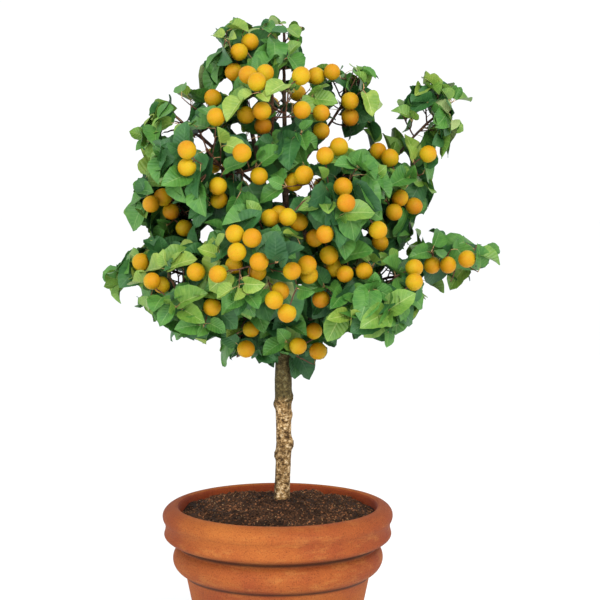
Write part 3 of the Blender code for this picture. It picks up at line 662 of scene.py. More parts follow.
# %% Trunk sizes
TRUNK_TALL, TRUNK_RADIUS, TRUNK_TOP_RADIUS = 0.395, 0.0150, 0.0125
LEAN = Vector((0.008, -0.004, 0.0))
Knot = namedtuple("Knot", "height turn proud size")
KNOTS = (
    Knot(0.094, 180, 0.0048, 0.0078),
    Knot(0.116, -12, 0.0068, 0.0100),
    Knot(0.150, 110, 0.0046, 0.0080),
    Knot(0.173, 8, 0.0036, 0.0066),
    Knot(0.194, 188, 0.0050, 0.0076),
    Knot(0.208, 0, 0.0044, 0.0080),
    Knot(0.062, 75, 0.0040, 0.0070),
)


def trunk_point(share):
    """The middle of the trunk at a share of its height."""
    sway = Vector((0.0018 * math.sin(share * 7.0), 0.0025 * math.sin(share * 5.0 + 1.0), 0))
    sway *= min(1.0, share * 4)
    return TRUNK_FOOT + LEAN * share + UP * TRUNK_TALL * share + sway


def trunk_radius(share):
    tall = share * TRUNK_TALL
    flare = 0.0030 * math.exp(-tall / 0.012)
    collar = 0.0018 * math.exp(-(((tall - 0.235) / 0.05) ** 2))
    taper = TRUNK_RADIUS + (TRUNK_TOP_RADIUS - TRUNK_RADIUS) * max(0.0, share - 0.7) / 0.3
    return taper + flare + collar


def knot_swell(centre, point):
    """How far the bark stands out because of the knots near a point, with a scar in each."""
    proud = 0.0
    for knot in KNOTS:
        turn = math.radians(knot.turn)
        seat = centre + Vector((math.cos(turn), math.sin(turn), 0)) * TRUNK_RADIUS
        seat.z = TRUNK_FOOT.z + knot.height
        away = (point - seat).length / knot.size
        proud += knot.proud * (math.exp(-away * away) - 0.45 * math.exp(-((away * 3.2) ** 2)))
    return proud


def bark_relief(point, depth):
    """Flakes that stand out and furrows that run up the trunk."""
    flakes = noise.noise(Vector((point.x * 150, point.y * 150, point.z * 110)))
    fine = noise.noise(Vector((point.x * 420, point.y * 420, point.z * 330)))
    furrow = abs(noise.noise(Vector((point.x * 90, point.y * 90, point.z * 30 + 9))))
    return depth * (0.55 * flakes + 0.30 * fine - 0.9 * max(0.0, 0.16 - furrow) / 0.16)


# %% Trunk model
TRUNK_RINGS, TRUNK_SIDES = 260, 56
BARK_DEPTH, ROUNDED_FROM = 0.00055, 0.97


def model_trunk():
    nothing_selected()
    bpy.ops.mesh.primitive_cylinder_add(
        vertices=TRUNK_SIDES, radius=TRUNK_RADIUS, depth=TRUNK_TALL, end_fill_type="NGON",
        location=TRUNK_FOOT + UP * TRUNK_TALL / 2,
    )
    made = bpy.context.object
    bpy.ops.object.transform_apply(location=True, rotation=True, scale=True)
    bpy.ops.object.mode_set(mode="EDIT")
    bpy.ops.mesh.select_all(action="DESELECT")
    bpy.ops.mesh.select_mode(type="EDGE")
    work = bmesh.from_edit_mesh(made.data)
    for edge in work.edges:
        edge.select_set(abs(edge.verts[0].co.z - edge.verts[1].co.z) > 0.1)
    bmesh.update_edit_mesh(made.data)
    bpy.ops.mesh.subdivide(number_cuts=TRUNK_RINGS - 1)
    bpy.ops.mesh.select_mode(type="VERT")
    bpy.ops.object.mode_set(mode="OBJECT")
    for vertex in made.data.vertices:
        share = (vertex.co.z - TRUNK_FOOT.z) / TRUNK_TALL
        out = Vector((vertex.co.x - TRUNK_FOOT.x, vertex.co.y - TRUNK_FOOT.y, 0)).normalized()
        centre = trunk_point(share)
        point = centre + out * trunk_radius(share)
        swell = knot_swell(centre, point) + bark_relief(point, BARK_DEPTH)
        rounded = math.sqrt(max(0.04, 1 - max(0.0, (share - ROUNDED_FROM) / 0.03) ** 2))
        vertex.co = centre + out * (trunk_radius(share) * rounded + swell)
        vertex.co.z = TRUNK_FOOT.z + share * TRUNK_TALL
    return made


finish_piece(model_trunk(), "trunk_with_bark", trunk_bark, ["trunk"])

# %% [markdown]
# ## The boughs
#
# The plan of the crown is the same as the solids': rings of masses, one bough to each, two
# leaders that fork from the trunk's top, and two sprays that stand out on the right. The same
# names and numbers give the same places, so every bough here lies along its solid.

# %% Plan of the crown
Tier = namedtuple("Tier", "name count turn height stagger across deep reach twigs rise")
TIERS = (
    Tier("skirt", 3, 215, 0.705, 0.0, 0.080, 0.075, (0.098, 0.098, 0.098), 4, -0.15),
    Tier("low", 8, 0, 0.830, 0.036, 0.218, 0.215, (0.118, 0.112, 0.105), 5, 0.00),
    Tier("mid", 6, 0, 1.000, 0.040, 0.190, 0.190, (0.122, 0.122, 0.112), 5, 0.10),
    Tier("shoulder", 4, 0, 1.150, -0.018, 0.125, 0.125, (0.115, 0.115, 0.105), 5, 0.15),
    Tier("top", 2, 0, 1.250, 0.0, 0.058, 0.030, (0.096, 0.105, 0.092), 5, 0.25),
)
SHIFTS = {
    "skirt_left_front": (0.010, 0.0, 0.012),
    "skirt_right_front": (-0.044, -0.010, 0.012),
    "low_right": (0.012, 0.0, -0.030),
    "low_right_front": (0.014, 0.0, 0.002),
    "low_right_back": (0.020, 0.0, 0.004),
    "low_left": (0.016, 0.0, -0.030),
    "low_left_front": (0.0, 0.0, 0.010),
    "low_left_back": (0.0, 0.0, 0.010),
    "mid_right": (0.044, 0.0, -0.040),
    "mid_right_front": (0.020, 0.0, 0.004),
    "mid_right_back": (0.020, 0.0, 0.004),
    "mid_left": (0.006, 0.0, -0.004),
    "shoulder_left": (-0.034, 0.0, -0.034),
    "shoulder_right": (0.014, 0.0, 0.030),
    "shoulder_front": (0.012, 0.0, -0.030),
    "shoulder_back": (0.006, 0.0, -0.016),
    "top_right": (-0.034, 0.0, 0.004),
    "top_left": (-0.006, 0.0, -0.008),
}
Spray = namedtuple("Spray", "name carrier share centre reach twigs rise")
SPRAYS = (
    Spray("low_spray", "low_right", 0.62, (0.338, -0.035, 0.857), (0.096, 0.084, 0.082), 5, 0.1),
    Spray("high_spray", "mid_right", 0.55, (0.290, 0.000, 1.122), (0.088, 0.086, 0.090), 5, 0.3),
)
CROWN_MIDDLE = Vector((-0.010, 0.005, 0.930))
JITTER = 0.012
LIMB_STEPS, FINE_STEPS, BEND_SHARE = 4, 28, 0.38
Limb = namedtuple("Limb", "name path radii fine")
Mass = namedtuple("Mass", "name centre reach twigs rise seed")


def compass(turn):
    """Right, left, front or back, or two of these, for an angle round the crown."""
    c, s = math.cos(turn), math.sin(turn)
    side = "right" if c > 0.4 else "left" if c < -0.4 else ""
    depth = "back" if s > 0.4 else "front" if s < -0.4 else ""
    return "_".join(word for word in (side, depth) if word)


def plan_masses():
    masses = []
    for tier in TIERS:
        for k in range(tier.count):
            turn = math.radians(tier.turn + 360 * k / tier.count)
            dice = random.Random(f"{tier.name}{k}")
            shift = Vector(dice.uniform(-JITTER, JITTER) for _ in range(3))
            ring = Vector((math.cos(turn) * tier.across, math.sin(turn) * tier.deep, 0))
            height = tier.height + tier.stagger * (-1) ** k
            name = f"{tier.name}_{compass(turn)}"
            centre = Vector((CROWN_MIDDLE.x, CROWN_MIDDLE.y, height)) + ring + shift
            centre += Vector(SHIFTS.get(name, (0, 0, 0)))
            masses.append(Mass(name, centre, Vector(tier.reach), tier.twigs, tier.rise, len(masses)))
    for spray in SPRAYS:
        centre, reach = Vector(spray.centre), Vector(spray.reach)
        masses.append(Mass(spray.name, centre, reach, spray.twigs, spray.rise, len(masses)))
    return masses


masses = plan_masses()
print(len(masses), "masses")


# %% Limbs
def bend(start, leave, end, arrive, steps):
    """A smooth limb that leaves one way and arrives another."""
    span = (end - start).length * BEND_SHARE
    a, b = start + leave.normalized() * span, end - arrive.normalized() * span
    path = []
    for i in range(steps + 1):
        t = i / steps
        s = 1 - t
        path.append(start * s**3 + a * 3 * s * s * t + b * 3 * s * t * t + end * t**3)
    return path


def along(path, share):
    """Point and heading at a share of a path's steps."""
    place = share * (len(path) - 1)
    i = min(int(place), len(path) - 2)
    step = path[i + 1] - path[i]
    return path[i] + step * (place - i), step.normalized()


def bough_to(mass, carrier, share, thick, thin):
    """The bough that carries a mass, from a share of its carrier into the mass's inner side."""
    start, heading = along(carrier.path, share)
    inward = (start - mass.centre).normalized()
    tip = mass.centre + Vector(a * b for a, b in zip(inward, mass.reach)) * 0.62
    out = (tip - start).normalized()
    leave = heading * 0.55 + out * 0.9
    arrive = (mass.centre - tip).normalized() * 0.8 + out * 0.5 + UP * 0.15
    path = bend(start, leave, tip, arrive, LIMB_STEPS)
    radii = [thick + (thin - thick) * (i / LIMB_STEPS) ** 0.8 for i in range(LIMB_STEPS + 1)]
    return Limb(mass.name + "_bough", path, radii, bend(start, leave, tip, arrive, FINE_STEPS))


def plan_boughs(masses, trunk):
    named = {mass.name: mass for mass in masses}
    limbs = {"trunk": trunk}

    def add(mass_name, carrier, share, thick, thin):
        limbs[mass_name] = bough_to(named[mass_name], limbs[carrier], share, thick, thin)

    add("top_left", "trunk", 0.97, 0.0088, 0.0036)
    add("top_right", "trunk", 0.97, 0.0088, 0.0036)
    low = [m.name for m in masses if m.name.startswith("low_") and "spray" not in m.name]
    for k, name in enumerate(low):
        add(name, "trunk", 0.83 if k % 2 else 0.91, 0.0068, 0.0033)
    for name in (m.name for m in masses if m.name.startswith("mid_")):
        add(name, "top_right" if "right" in name else "top_left", 0.22, 0.0052, 0.0031)
    for name, share in (("right", 0.5), ("back", 0.4), ("left", 0.5), ("front", 0.4)):
        carrier = "top_right" if name in ("right", "back") else "top_left"
        add("shoulder_" + name, carrier, share, 0.0042, 0.0029)
    for spray in SPRAYS:
        add(spray.name, spray.carrier, spray.share, 0.0032, 0.0026)
    del limbs["trunk"]
    return limbs


trunk_shares = [i / 24 for i in range(25)]
trunk_path = [trunk_point(share) for share in trunk_shares]
trunk_limb = Limb("trunk", trunk_path, [trunk_radius(share) for share in trunk_shares], trunk_path)
boughs = plan_boughs(masses, trunk_limb)
print(len(boughs), "boughs")

# %% [markdown]
# A limb is a tube along its path. It is fat where it leaves its carrier, as a real branch
# collar is, and the bark's relief gets shallower as it gets thinner. The tubes are written as
# arrays, because the same helper then makes every twig, shoot and stalk as well.


# %% Tubes
def tube_model(path, radii, sides, relief=0.0):
    """A closed tube with a rounded tip, as a model."""
    side = (path[1] - path[0]).orthogonal().normalized()
    points = []
    for i, centre in enumerate(path):
        ahead = (path[min(i + 1, len(path) - 1)] - path[max(i - 1, 0)]).normalized()
        side = (side - ahead * side.dot(ahead)).normalized()
        over = ahead.cross(side)
        for k in range(sides):
            turn = math.tau * k / sides
            out = side * math.cos(turn) + over * math.sin(turn)
            point = centre + out * radii[i]
            points.append(point + out * bark_relief(point, relief) if relief else point)
    loops, sizes = [], []
    for i in range(len(path) - 1):
        for k in range(sides):
            a, b = i * sides + k, i * sides + (k + 1) % sides
            loops += [a, b, b + sides, a + sides]
            sizes.append(4)
    points.append(path[-1] + (path[-1] - path[-2]).normalized() * radii[-1] * 0.6)
    last, tip = (len(path) - 1) * sides, len(points) - 1
    for k in range(sides):
        loops += [last + k, last + (k + 1) % sides, tip]
        sizes.append(3)
    loops += list(reversed(range(sides)))
    sizes.append(sides)
    uvs = np.zeros((len(loops), 2))
    return Model(np.array([tuple(p) for p in points]), np.array(loops), np.array(sizes), uvs)


def join_tubes(name, models, finish, nodes):
    still, nowhere = np.eye(3), np.zeros(3)
    join_copies(name, [(m, still, nowhere) for m in models], finish, nodes)


def fine_radii(limb):
    """The limb's radius at every fine step, with a collar where it leaves its carrier."""
    coarse = len(limb.radii) - 1
    steps = len(limb.fine) - 1
    radii = []
    for i in range(steps + 1):
        place = coarse * i / steps
        k = min(int(place), coarse - 1)
        radius = limb.radii[k] + (limb.radii[k + 1] - limb.radii[k]) * (place - k)
        radii.append(radius * (1 + 0.35 * math.exp(-i / 2.0)))
    return radii


bough_models = [tube_model(limb.fine, fine_radii(limb), 14, 0.0004) for limb in boughs.values()]
join_tubes("boughs_with_bark", bough_models, bough_bark, [name + "_bough" for name in boughs])

# %% [markdown]
# ## Where the crown is open
#
# The crown is no closed ball. The photograph shows sky in gaps between the boughs and in bays of
# its outline. Circles cover it here, each a place and a radius in the frame, and no shoot or leaf
# grows across their lines of sight. Twigs and boughs may cross them, as they do there. The first
# 56 circles were fitted to the photograph's sky by a measuring script, and eight of those were
# moved or resized later. The other 49 were added while comparing pictures.

# %% Openings
OPENINGS = np.array((
    (336, 38, 25), (450, 211, 21), (399, 61, 26), (106, 245, 21), (186, 42, 25), (244, 379, 21),
    (497, 292, 26), (311, 2, 24), (332, 382, 24), (197, 368, 24), (147, 349, 25), (366, 364, 26),
    (252, 16, 8), (464, 186, 26), (473, 157, 24), (137, 323, 15), (288, 3, 16), (347, 368, 24),
    (383, 117, 8), (182, 115, 7), (177, 71, 12), (313, 45, 11), (402, 90, 7), (425, 223, 8),
    (373, 41, 25), (362, 142, 7), (204, 142, 10), (459, 107, 7), (475, 295, 13), (118, 158, 19),
    (212, 2, 26), (119, 198, 11), (124, 105, 25), (131, 240, 8), (143, 233, 6), (159, 89, 10),
    (213, 45, 7), (416, 351, 24), (425, 115, 6), (186, 347, 9), (354, 144, 6), (215, 344, 5),
    (373, 85, 5), (460, 224, 9), (192, 83, 5), (168, 132, 5), (236, 128, 5), (345, 341, 6),
    (424, 320, 9), (437, 304, 7), (135, 171, 6), (284, 119, 7), (334, 131, 5), (184, 109, 5),
    (303, 191, 6), (278, 165, 4), (266, 2, 7), (283, 38, 5), (226, 88, 6), (285, 75, 6),
    (338, 90, 5), (335, 111, 5), (387, 100, 5), (400, 126, 4), (382, 143, 4), (217, 170, 5),
    (248, 178, 5), (284, 197, 4), (313, 158, 6), (317, 180, 4), (340, 175, 4), (203, 238, 5),
    (177, 276, 6), (388, 277, 5), (403, 255, 5), (428, 290, 5), (403, 158, 5), (482, 236, 8),
    (127, 297, 6), (270, 373, 5), (252, 137, 4), (286, 364, 8), (285, 384, 12), (252, 101, 5),
    (293, 98, 5), (276, 97, 4), (305, 87, 5), (308, 67, 4), (349, 70, 4), (418, 133, 6),
    (469, 122, 6), (446, 75, 6), (127, 188, 5), (176, 99, 5), (258, 22, 5), (421, 172, 4),
    (428, 237, 5), (455, 297, 6), (424, 274, 4), (384, 270, 4), (362, 233, 4), (253, 156, 4),
    (257, 192, 4), (137, 291, 5), (183, 206, 4),
))


def in_opening(points, allowed=0):
    """Whether more than the allowed number of points is seen in openings."""
    x, y = in_frame(points)
    away = np.hypot(x[:, None] - OPENINGS[:, 0], y[:, None] - OPENINGS[:, 1])
    return int((away < OPENINGS[:, 2]).any(1).sum()) > allowed


def within_reach(point, stretch):
    """Whether the crown's own outline, a little stretched, holds a point."""
    for mass in masses:
        if sum((o / r) ** 2 for o, r in zip(point - mass.centre, mass.reach)) < stretch * stretch:
            return True
    return False


# %% [markdown]
# ## The foliage
#
# Every mass has its own space: an oval round its centre, cut off where another mass is nearer.
# Its stem and twigs are those of the solid, from the same seeded draws. From them grow side
# shoots, which the solids leave out, and on those the leaves.

# %% The space of a mass
SPACE_GAP = 0.0008
ROOM_MOST, ROOM_STEP = 0.16, 0.004
TRUNK_SWELL, BOUGH_SWELL = 0.004, 0.0015
LEAF_ROOM, TWIG_SHORTEST, TWIG_TRIES = 0.040, 0.022, 24
STEM_TIP, TWIG_RADIUS = 0.0026, 0.0016


def inside(mass, point, margin):
    """Whether a point is in the mass's oval and nearer to it than to any other mass."""
    offset = point - mass.centre
    if sum((o / (r - margin)) ** 2 for o, r in zip(offset, mass.reach)) > 1:
        return False
    for other in masses:
        if other is mass:
            continue
        apart = other.centre - mass.centre
        span = apart.length
        if offset.dot(apart) / span > span / 2 - margin:
            return False
    return True


def room(mass, point, heading):
    """How far a shoot can go from a point before it leaves the mass's space."""
    far = 0.0
    while far < ROOM_MOST and inside(mass, point + heading * (far + ROOM_STEP), SPACE_GAP):
        far += ROOM_STEP
    return far


def turned_about(heading, tilt, turn):
    """A direction that leans away from a heading by tilt, at a turn round it."""
    side = heading.orthogonal().normalized()
    over = heading.cross(side)
    radial = side * math.cos(turn) + over * math.sin(turn)
    return (heading * math.cos(tilt) + radial * math.sin(tilt)).normalized()


def plain_tube(path, radii, sides):
    """Corners and faces of a tube, for testing what touches what."""
    model = tube_model(path, radii, sides)
    faces, at = [], 0
    for size in model.sizes:
        faces.append(tuple(int(i) for i in model.loops[at:at + size]))
        at += size
    return [Vector(p) for p in model.points], faces


def standing_wood():
    """The trunk and all boughs, a little swollen, as one tree for tests."""
    points, faces = [], []
    limbs = [(trunk_limb, TRUNK_SWELL, 10)] + [(bough, BOUGH_SWELL, 5) for bough in boughs.values()]
    for limb, swell, sides in limbs:
        more, sides_of = plain_tube(limb.path, [r + swell for r in limb.radii], sides)
        faces += [tuple(i + len(points) for i in face) for face in sides_of]
        points += more
    return BVHTree.FromPolygons(points, faces)


wood = standing_wood()


# %% Stem and twigs of a mass
def shoot(start, heading, length, rise, steps):
    """A twig's line: it sets off along its heading and bends up or down by its rise."""
    path = []
    for i in range(steps + 1):
        rising = UP * length * rise * (i / steps) ** 2
        path.append(start + heading * length * i / steps + rising)
    return path


def stem_start(mass):
    """Where a mass's stem starts, its heading and its radius there. A skirt grows on the trunk."""
    if mass.name not in boughs:
        start, _ = along(trunk_path, 0.80)
        return start, (mass.centre - start).normalized(), 0.0034
    carrier = boughs[mass.name]
    heading = (carrier.path[-1] - carrier.path[-2]).normalized()
    return carrier.path[-1] + heading * CLEAR, heading, carrier.radii[-1] * 0.9


def grow_twigs(mass):
    """The stem and the twigs round it, as the solids have them, each also as a fine path."""
    dice = random.Random(f"twigs{mass.seed}")
    start, heading, thick = stem_start(mass)
    outward = mass.centre - CROWN_MIDDLE
    onward = ((mass.centre - start).normalized() * 0.8 + outward.normalized() * 0.5).normalized()
    long = max(0.03, room(mass, mass.centre, onward) - LEAF_ROOM)
    end = mass.centre + onward * long
    path = bend(start, heading, end, onward, 2)
    radii = [thick + (STEM_TIP - thick) * i / 2 for i in range(3)]
    limbs = [Limb("stem", path, radii, bend(start - heading * 0.004, heading, end, onward, 10))]
    for k in range(mass.twigs):
        point, ahead = along(path, 0.16 + 0.66 * k / max(1, mass.twigs - 1))
        best, widest = None, 0.0
        for _ in range(TWIG_TRIES):
            tilt = math.radians(dice.uniform(42, 84))
            way = turned_about(ahead, tilt, dice.uniform(0, math.tau))
            free = room(mass, point, way) - LEAF_ROOM
            if free < TWIG_SHORTEST:
                continue
            line = shoot(point, way, free, mass.rise, 1)
            apart = min((line[-1] - limb.path[-1]).length for limb in limbs)
            tested = BVHTree.FromPolygons(*plain_tube([line[0] + way * 0.006, line[-1]], [0.003] * 2, 3))
            if apart > widest and not tested.overlap(wood):
                best, widest = (line, shoot(point, way, free, mass.rise, 6)), apart
        if best:
            limbs.append(Limb("twig", best[0], [TWIG_RADIUS, TWIG_RADIUS * 0.85], best[1]))
    return limbs


# %% [markdown]
# A side shoot leaves its twig at a node, bends towards the light and ends where its leaves
# still fit. Of several ways it takes the one that ends furthest from the shoots already there,
# which fills the mass evenly.


# %% Side shoots
SHOOT_EVERY, SHOOT_TRIES = 0.024, 10
SHOOT_LONGEST, SHOOT_SHORTEST, SHOOT_ROOM = 0.062, 0.014, 0.026
SHOOT_APART, SHOOT_OFF_WOOD = 0.016, 0.008
SHOOT_RADII = (0.0013, 0.0009)


def path_length(path):
    return sum((b - a).length for a, b in zip(path, path[1:]))


borne, parent_of = {}, {}  # how far each limb bears something, and what each shoot grows on


def bear(limb, share):
    """Notes that a limb bears something at a share of its length."""
    borne[id(limb)] = max(borne.get(id(limb), 0.0), share)


def grow_shoots(mass, limbs):
    """Side shoots along every twig of a mass."""
    dice = random.Random(f"shoots{mass.seed}")
    shoots = []
    ends = [limb.fine[-1] for limb in limbs]
    for limb in limbs:
        count = max(1, int(path_length(limb.fine) / SHOOT_EVERY))
        for k in range(count):
            share = 0.22 + 0.66 * (k + 0.5) / count
            point, ahead = along(limb.fine, share)
            best, widest = None, 0.0
            for _ in range(SHOOT_TRIES):
                way = turned_about(ahead, math.radians(dice.uniform(38, 80)), dice.uniform(0, math.tau))
                way = (way + UP * 0.15 + (mass.centre - CROWN_MIDDLE).normalized() * 0.25).normalized()
                free = min(SHOOT_LONGEST, room(mass, point, way) - SHOOT_ROOM)
                if free < SHOOT_SHORTEST:
                    continue
                line = shoot(point, way, free, 0.12, 4)
                apart = min((line[-1] - end).length for end in ends)
                clear = wood.find_nearest(line[-1])[3] > SHOOT_OFF_WOOD
                if apart > widest and clear and not in_opening(np.array(line[1:])):
                    best, widest = line, apart
            if best and widest > SHOOT_APART:
                shoots.append(Limb("shoot", best, SHOOT_RADII, best))
                parent_of[id(shoots[-1])] = (limb, share)
                ends.append(best[-1])
    return shoots


twigs_of = {mass.name: grow_twigs(mass) for mass in masses}
shoots_of = {mass.name: grow_shoots(mass, twigs_of[mass.name]) for mass in masses}
print(sum(map(len, twigs_of.values())), "stems and twigs,", sum(map(len, shoots_of.values())), "shoots")

# %% [markdown]
# ## The fruit
#
# Apricots sit close on the wood, singly and in twos and threes. Those in front stand where the
# photograph shows them: 40 of these places are as a measuring script found them, 15 lie within
# three pixels of what it found, and the other 27 were added while comparing pictures. Each fruit
# follows its line of sight into the crown, and settles where a twig is near, above it if
# possible, and nothing else is in the way. So it hangs from wood when seen from any side.

# %% Fruit in front
FRUIT_RADIUS = 0.0168
FRUIT_WITHIN = 0.95  # share of the masses' reach that holds the fruit
SIGHT_START, SIGHT_STEP, SIGHT_STEPS = 2.65, 0.004, 130
ABOVE_SEAT, DEEPER = 0.5, 0.0010  # what it costs to lie above the twig, and a step deeper
FRUIT_CHOICE = ("golden", "amber", "ruddy"), (6, 4, 1)
Fruit = namedtuple("Fruit", "seat centre radius tint open")
FRONT_FRUIT = (
    (250, 42), (239, 52), (234, 72), (248, 75), (257, 82), (265, 73), (301, 76), (316, 76),
    (332, 72), (213, 98), (216, 117), (246, 115), (262, 111), (263, 126), (302, 110), (321, 113),
    (321, 131), (350, 101), (350, 117), (187, 150), (187, 167), (242, 153), (218, 186), (219, 200),
    (259, 176), (304, 175), (294, 182), (325, 156), (339, 147), (378, 151), (390, 158), (428, 154),
    (343, 187), (346, 203), (163, 197), (151, 204), (171, 211), (400, 198), (414, 206), (394, 212),
    (184, 228), (270, 218), (279, 214), (288, 217), (299, 222), (252, 238), (235, 234), (315, 238),
    (325, 234), (378, 230), (380, 243), (141, 262), (237, 252), (234, 265), (259, 262), (257, 272),
    (307, 265), (309, 275), (292, 271), (329, 255), (335, 268), (345, 274), (364, 271), (196, 272),
    (218, 274), (152, 281), (162, 285), (414, 282), (414, 268), (432, 265), (448, 265), (467, 259),
    (212, 307), (321, 299), (280, 291), (274, 300), (287, 313), (251, 329), (246, 349), (314, 331),
    (298, 346), (318, 351),
)


SEAT_SHARES = [0.12 + 0.08 * i for i in range(11)]


def seats_of_fruit():
    """Close points along all twigs and shoots, from which fruit may hang, and what each is on."""
    points, limbs = [], []
    for mass in masses:
        for limb in twigs_of[mass.name] + shoots_of[mass.name]:
            for share in SEAT_SHARES:
                points.append(tuple(along(limb.fine, share)[0]))
                limbs.append((limb, share))
    return np.array(points), limbs


fruit_seats, limbs_of_seats = seats_of_fruit()


def hang_in_sight(x, y, taken, dice):
    """The fruit that the camera sees at a place of the frame, or None."""
    way = sight_line(x, y)
    radius = FRUIT_RADIUS * dice.uniform(0.92, 1.02)
    best, least, first, on = None, 1.0, None, None
    for step in range(SIGHT_STEPS):
        centre = EYE + way * (SIGHT_START + SIGHT_STEP * step)
        if not within_reach(centre, FRUIT_WITHIN):
            continue
        first = step if first is None else first
        away = np.linalg.norm(fruit_seats - np.array(centre), axis=1)
        reach = away + ABOVE_SEAT * np.maximum(0.0, centre.z - fruit_seats[:, 2])
        nearest = int(reach.argmin())
        clear = away.min() > radius * 1.05 and wood.find_nearest(centre)[3] > radius
        if not clear or any((centre - f.centre).length < (radius + f.radius) * 1.01 for f in taken):
            continue
        cost = max(0.0, reach[nearest] - radius * 1.15) + DEEPER * (step - first)
        if cost < least:
            tint = dice.choices(*FRUIT_CHOICE)[0]
            best = Fruit(Vector(fruit_seats[nearest]), centre, radius, tint, -way)
            least, on = cost, limbs_of_seats[nearest]
    if best:
        bear(*on)
    return best


fruit = []
front_dice = random.Random("front fruit")
for x, y in FRONT_FRUIT:
    found = hang_in_sight(x, y, fruit, front_dice)
    if found:
        fruit.append(found)
print(len(fruit), "fruit in front")

# %% [markdown]
# The sides and the back carry nearly as many. There the seeded rule places them: two or three in
# a row along a twig, hanging outward.

# %% Fruit at the sides and the back
FRUIT_OF_MASS = {"skirt": 3, "low": 9, "mid": 9, "shoulder": 7, "top": 4, "spray": 2}
BEHIND = 0.035
MIDDLE_WIDE, MIDDLE_TALL, MIDDLE_RAISED = 0.225, 0.270, 0.03
RIGHT = Vector((1, 0, 0))


def fruit_count(mass):
    kind = "spray" if "spray" in mass.name else mass.name.split("_")[0]
    return FRUIT_OF_MASS[kind]


def seen_in_front(centre, radius):
    """Whether fruit behind would show past the outline or in an opening, seen from the front."""
    off = centre - CROWN_MIDDLE
    if math.hypot(off.x / MIDDLE_WIDE, (off.z - MIDDLE_RAISED) / MIDDLE_TALL) > 1:
        return True
    rim = [centre + side * radius for side in (Vector(), RIGHT, -RIGHT, UP, -UP)]
    return in_opening(np.array(rim))


def grow_fruit(mass, taken):
    dice = random.Random(f"fruit{mass.seed}")
    outward = (mass.centre - CROWN_MIDDLE).normalized()
    limbs = twigs_of[mass.name] + shoots_of[mass.name]
    outer = sorted(limbs, key=lambda limb: -(limb.path[-1] - mass.centre).dot(outward))
    found = []
    for limb in outer * 3:
        share = dice.uniform(0.35, 0.80)
        for k in range(3):
            if len(found) >= fruit_count(mass):
                return found
            place = min(0.95, share + 0.14 * k)
            seat, ahead = along(limb.fine, place)
            radius = FRUIT_RADIUS * dice.uniform(0.95, 1.06)
            side = ahead.cross(UP).normalized() * (1 if (k + mass.seed) % 2 else -1)
            hang = (outward * 0.70 + side * 0.65 - UP * 0.60).normalized()
            centre = seat + hang * radius * 1.12
            tint = dice.choices(*FRUIT_CHOICE)[0]
            if centre.y < CROWN_MIDDLE.y + BEHIND or seen_in_front(centre, radius):
                continue
            apart = all((centre - f.centre).length > (radius + f.radius) * 1.01 for f in taken + found)
            if apart and inside(mass, centre, radius * 0.8) and wood.find_nearest(centre)[3] > radius:
                found.append(Fruit(seat, centre, radius, tint, (centre - CROWN_MIDDLE).normalized()))
                bear(limb, place)
    return found


for mass in masses:
    fruit += grow_fruit(mass, fruit)
print(len(fruit), "fruit in all")

# %% [markdown]
# One apricot is modelled: a ball, a little longer than wide, with the dimple of its stalk and
# the shallow seam that runs down one side. Its map's V is one at the stalk end, where the finish
# paints light, and nought at the far end.


# %% Apricot model
FRUIT_SIDES, FRUIT_RINGS = 18, 11
DIMPLE, SEAM, SEAM_WIDE, LONGER = 0.16, 0.045, 0.28, 1.04


def apricot_model():
    nothing_selected()
    bpy.ops.mesh.primitive_uv_sphere_add(segments=FRUIT_SIDES, ring_count=FRUIT_RINGS, radius=1.0)
    made = bpy.context.object
    for vertex in made.data.vertices:
        p = vertex.co.copy()
        around = math.atan2(p.y, p.x)
        top = max(0.0, p.z)
        seam = SEAM * math.exp(-((around / SEAM_WIDE) ** 2)) * (0.35 + 0.65 * top)
        p *= 1 - DIMPLE * top**14 - seam
        p.z *= LONGER
        vertex.co = p
    layer = made.data.uv_layers.active.data
    for loop in made.data.loops:
        p = made.data.vertices[loop.vertex_index].co
        layer[loop.index].uv = (0.5 + p.x * 0.5, 0.5 + p.z * 0.5)
    return read_model(made)


apricot = apricot_model()


def facing_turn(ahead, over):
    """The rotation whose Y axis lies ahead and whose Z axis faces over, as an array."""
    y = ahead.normalized()
    z = (over - y * over.dot(y)).normalized()
    x = y.cross(z)
    return np.array(((x.x, y.x, z.x), (x.y, y.y, z.y), (x.z, y.z, z.z)))


def fruit_turn(one, dice):
    """The stalk's dimple points at the seat, and the seam anywhere round it."""
    up = (one.seat - one.centre).normalized()
    return facing_turn(turned_about(up, math.pi / 2, dice.uniform(0, math.tau)), up) * one.radius


all_foliage = [mass.name + "_foliage" for mass in masses]
for tint, finish in fruit_finishes.items():
    dice = random.Random("turn" + tint)
    copies = [(apricot, fruit_turn(f, dice), np.array(f.centre)) for f in fruit if f.tint == tint]
    join_copies("apricots_" + tint, copies, finish, all_foliage)

# %% [markdown]
# ## The leaves
#
# An apricot leaf is broad and nearly heart-shaped, with a sudden pointed tip and a finely
# toothed edge, folded a little along its midrib. It starts as a flat grid. The grid's rows are
# pulled to the blade's outline, its edge is set in and out for the teeth, and then it is
# folded, arched and waved. Six such blades are enough.

